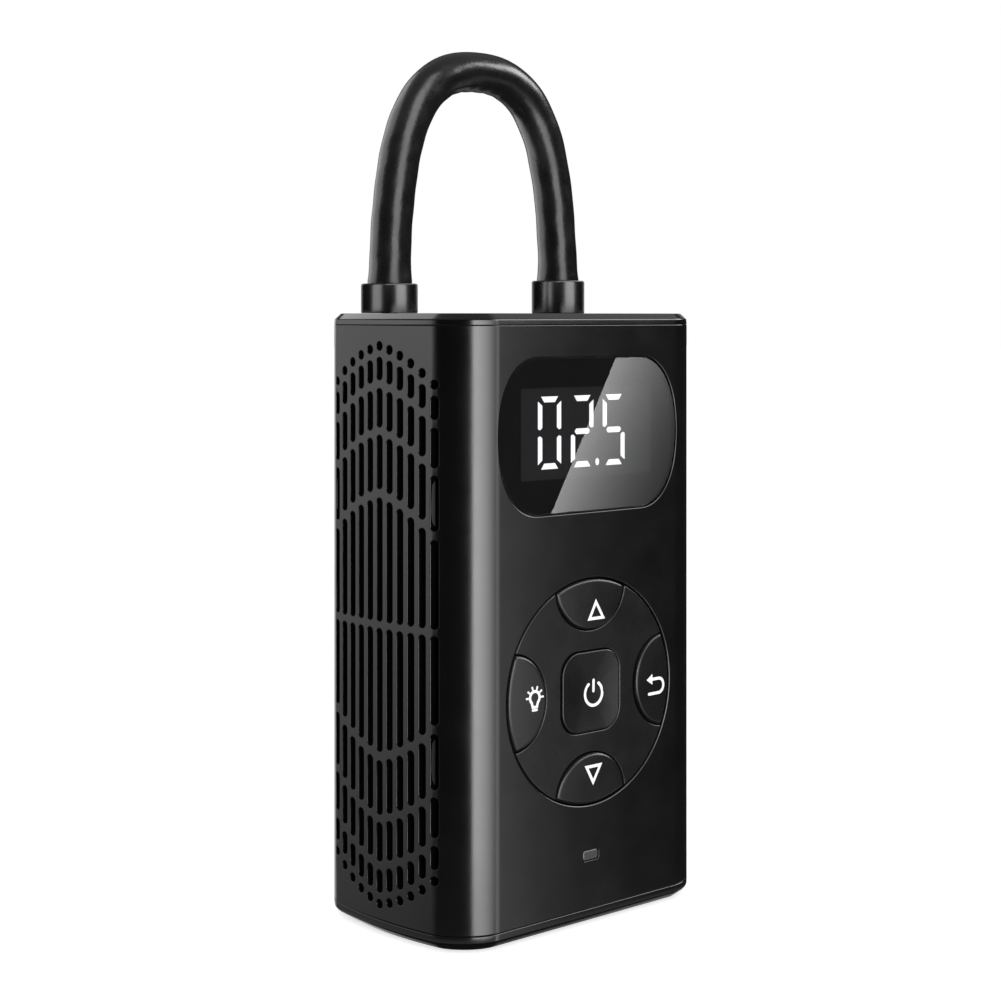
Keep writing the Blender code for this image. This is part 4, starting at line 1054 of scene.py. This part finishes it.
def card(name, centre, turn, size, radiance, receivers, across=None, upward=None):
    """A rectangular light of a given radiance, seen only in reflections and only by its receivers."""
    light = bpy.data.lights.new(name, "AREA")
    light.shape = "RECTANGLE"
    light.size, light.size_y = size
    light.energy = radiance * math.pi * size[0] * size[1]
    light.use_nodes = True
    tree = light.node_tree
    parts = node(tree, "ShaderNodeSeparateXYZ")
    tree.links.new(node(tree, "ShaderNodeNewGeometry").outputs["Parametric"], parts.inputs["Vector"])
    strength = node(tree, "ShaderNodeMath", operation="MULTIPLY")
    for slot, axis, shade in ((0, "X", across), (1, "Y", upward)):
        end, power, floor = shade or (1, 0, 0)
        along = node(tree, "ShaderNodeMapRange")
        along.inputs["From Min"].default_value = 0 if end > 0 else 1
        along.inputs["From Max"].default_value = 1 if end > 0 else 0
        curve = node(tree, "ShaderNodeMath", operation="POWER")
        curve.inputs[1].default_value = power
        lifted = node(tree, "ShaderNodeMath", operation="MULTIPLY_ADD")
        lifted.inputs[1].default_value = 1 - floor
        lifted.inputs[2].default_value = floor
        tree.links.new(parts.outputs[axis], along.inputs["Value"])
        tree.links.new(along.outputs["Result"], curve.inputs[0])
        tree.links.new(curve.outputs["Value"], lifted.inputs[0])
        tree.links.new(lifted.outputs["Value"], strength.inputs[slot])
    tree.links.new(strength.outputs["Value"], tree.nodes["Emission"].inputs["Strength"])
    obj = bpy.data.objects.new(name, light)
    obj.matrix_world = Matrix.Translation(centre) @ turn.to_4x4()
    obj.visible_camera = False
    bpy.context.scene.collection.objects.link(obj)
    obj.light_linking.receiver_collection = receivers
    return obj


def receiver_group(name, chosen):
    group = bpy.data.collections.new(name)
    for obj in chosen:
        group.objects.link(obj)
    return group


def build_lights():
    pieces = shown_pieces()
    collars = [o for o in pieces if o.name in ("outlet_grip", "loose_grip")]
    glass = [o for o in pieces if o.name == "display_glass"]
    hose = [o for o in pieces if o.name == "looped_hose"]
    unlit = [o for o in pieces if o.name.startswith(("display_panel", "lcd_", "digit_", "decimal_"))]
    body = [o for o in pieces if o not in collars + glass + hose + unlit]
    for_body = receiver_group("lit_body", body)
    for_hose = receiver_group("lit_hose", hose)
    for_collars = receiver_group("lit_collars", collars)
    softbox("side_left", (-188, -111), (-24, 14), 3.44, for_body, across=(1, 0.9, 0.03), upward=(1, 1, 0))
    softbox("side_edge", (-111, -86), (-24, 14), 2.4, for_body, across=(-1, 3, 0), upward=(1, 1, 0))
    softbox("corner_strip", (-27, 30), (-21, 18), 11.0, for_body, across=(-1, 0.9, 0))
    softbox("chamfer_side", (148, 196), (26, 56), 1.8, for_body)
    softbox("chamfer_front", (86, 114), (34, 60), 0.45, for_body)
    softbox("chamfer_corner", (112, 137), (6, 38), 0.35, for_body)
    softbox("edge_line", (24, 90), (14, 36), 7.0, for_body)
    softbox("rear", (125, 172), (-30, 12), 0.9, for_body)
    front_card(for_body)
    softbox("hose_left", (-190, -118), (-40, 50), 2.2, for_hose)
    softbox("hose_strip", (-32, 4), (-40, 60), 4.5, for_hose)
    softbox("hose_top", (42, 84), (24, 38), 10.0, for_hose)
    softbox("collar_left", (-111, -72), (-40, 40), 4.9, for_collars)
    softbox("collar_right", (-12, 32), (-40, 40), 7.6, for_collars)
    softbox("collar_above", (-50, 100), (52, 80), 5.0, for_collars)
    softbox("collar_rear", (98, 178), (-40, 40), 0.7, for_collars)
    build_glare(receiver_group("lit_glass", glass))


def front_card(receivers):
    """A near card that the front mirrors, brightest towards the object's left."""
    turn = Matrix(((1, 0, 0), (0, 0, 1), (0, -1, 0))).transposed()
    card("front_card", Vector((0.125, -0.16, 0.055)), turn, (0.15, 0.27), 4.5, receivers, across=(-1, 5, 0))


def build_glare(receivers):
    """A card whose slanting edge is mirrored across the display's glass."""
    mirrored = Vector((CAMERA.x, 2 * FRONT - CAMERA.y, CAMERA.z))
    upper, lower = Vector((7.3 * MM, FRONT, 115 * MM)), Vector((-11 * MM, FRONT, 84.2 * MM))
    reach = 3.0
    edge_high = mirrored + (upper - mirrored) * reach
    edge_low = mirrored + (lower - mirrored) * reach
    along = (edge_high - edge_low).normalized()
    across = Vector((along.z, 0, -along.x))
    width, tall = 0.14, 0.5
    centre = (edge_high + edge_low) / 2 + across * width / 2
    turn = Matrix((across, along, across.cross(along))).transposed()
    card("glare_card", centre, turn, (width, tall), 7.0, receivers, across=(-1, 3.6, 0.04))


def build_world():
    """A white surround for the camera and the floor; reflections see a dim one, paler far up and a little
    below the level."""
    world = bpy.data.worlds.new("studio")
    bpy.context.scene.world = world
    world.use_nodes = True
    tree = world.node_tree
    background = tree.nodes["Background"]
    parts = node(tree, "ShaderNodeSeparateXYZ")
    tree.links.new(node(tree, "ShaderNodeTexCoord").outputs["Generated"], parts.inputs["Vector"])
    total = 0.015
    for start, end, radiance in ((-0.3, -0.42, 0.45), (-0.54, -0.64, -0.45), (0.4, 0.75, 0.3)):
        band = node(tree, "ShaderNodeMapRange", interpolation_type="SMOOTHSTEP")
        band.inputs["From Min"].default_value = start
        band.inputs["From Max"].default_value = end
        band.inputs["To Max"].default_value = radiance
        added = node(tree, "ShaderNodeMath", operation="ADD")
        tree.links.new(parts.outputs["Z"], band.inputs["Value"])
        tree.links.new(band.outputs["Result"], added.inputs[0])
        if isinstance(total, float):
            added.inputs[1].default_value = total
        else:
            tree.links.new(total, added.inputs[1])
        total = added.outputs["Value"]
    tone = node(tree, "ShaderNodeMix", data_type="FLOAT")
    tone.inputs["A"].default_value = 1.0
    tree.links.new(total, tone.inputs["B"])
    tree.links.new(node(tree, "ShaderNodeLightPath").outputs["Is Glossy Ray"], tone.inputs["Factor"])
    tree.links.new(tone.outputs["Result"], background.inputs["Strength"])
    background.inputs["Color"].default_value = (1, 1, 1, 1)


def build_floor():
    bm = bmesh.new()
    bmesh.ops.create_grid(bm, x_segments=4, y_segments=4, size=6)
    mesh = bpy.data.meshes.new("floor")
    bm.to_mesh(mesh)
    bm.free()
    floor = bpy.data.objects.new("floor", mesh)
    floor.location.z = -0.02 * MM
    bpy.context.scene.collection.objects.link(floor)
    mat = surface("floor_white", grey(0.8), grey(0.82), (0.8, 0.9), 900, 0.01 * MM, patches=2.0,
                  Emission_Color=(1, 1, 1, 1), Emission_Strength=0.7)
    mesh.materials.append(mat)
    floor.visible_glossy = False
    floor.visible_shadow = False
    floor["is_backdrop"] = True


def build_camera():
    data = bpy.data.cameras.new("camera")
    data.lens = CAMERA_LENS
    data.clip_start = 0.01
    camera = bpy.data.objects.new("camera", data)
    camera.location = CAMERA
    camera.rotation_euler = (math.pi / 2, 0, -math.radians(CAMERA_HEADING))
    bpy.context.scene.collection.objects.link(camera)
    bpy.context.scene.camera = camera
    # The lens is shifted down only at the camera's own place, so that other views stay centred.
    driver = data.driver_add("shift_y").driver
    spot = driver.variables.new()
    spot.name = "x"
    spot.type = "SINGLE_PROP"
    spot.targets[0].id = camera
    spot.targets[0].data_path = "location[0]"
    driver.expression = f"{CAMERA_SHIFT} if abs(x - {CAMERA.x:.4f}) < 0.0005 else 0.0"


dress_frame()
build_sleeve()
build_top_cap()
build_bottom_cap()
build_screens()
build_display()
build_indicator()
build_keys()
build_hose()
build_collars()
build_chuck()
build_lamp()
build_port()
build_floor()
build_camera()
build_world()
build_lights()
bpy.context.scene.view_settings.view_transform = "Standard"
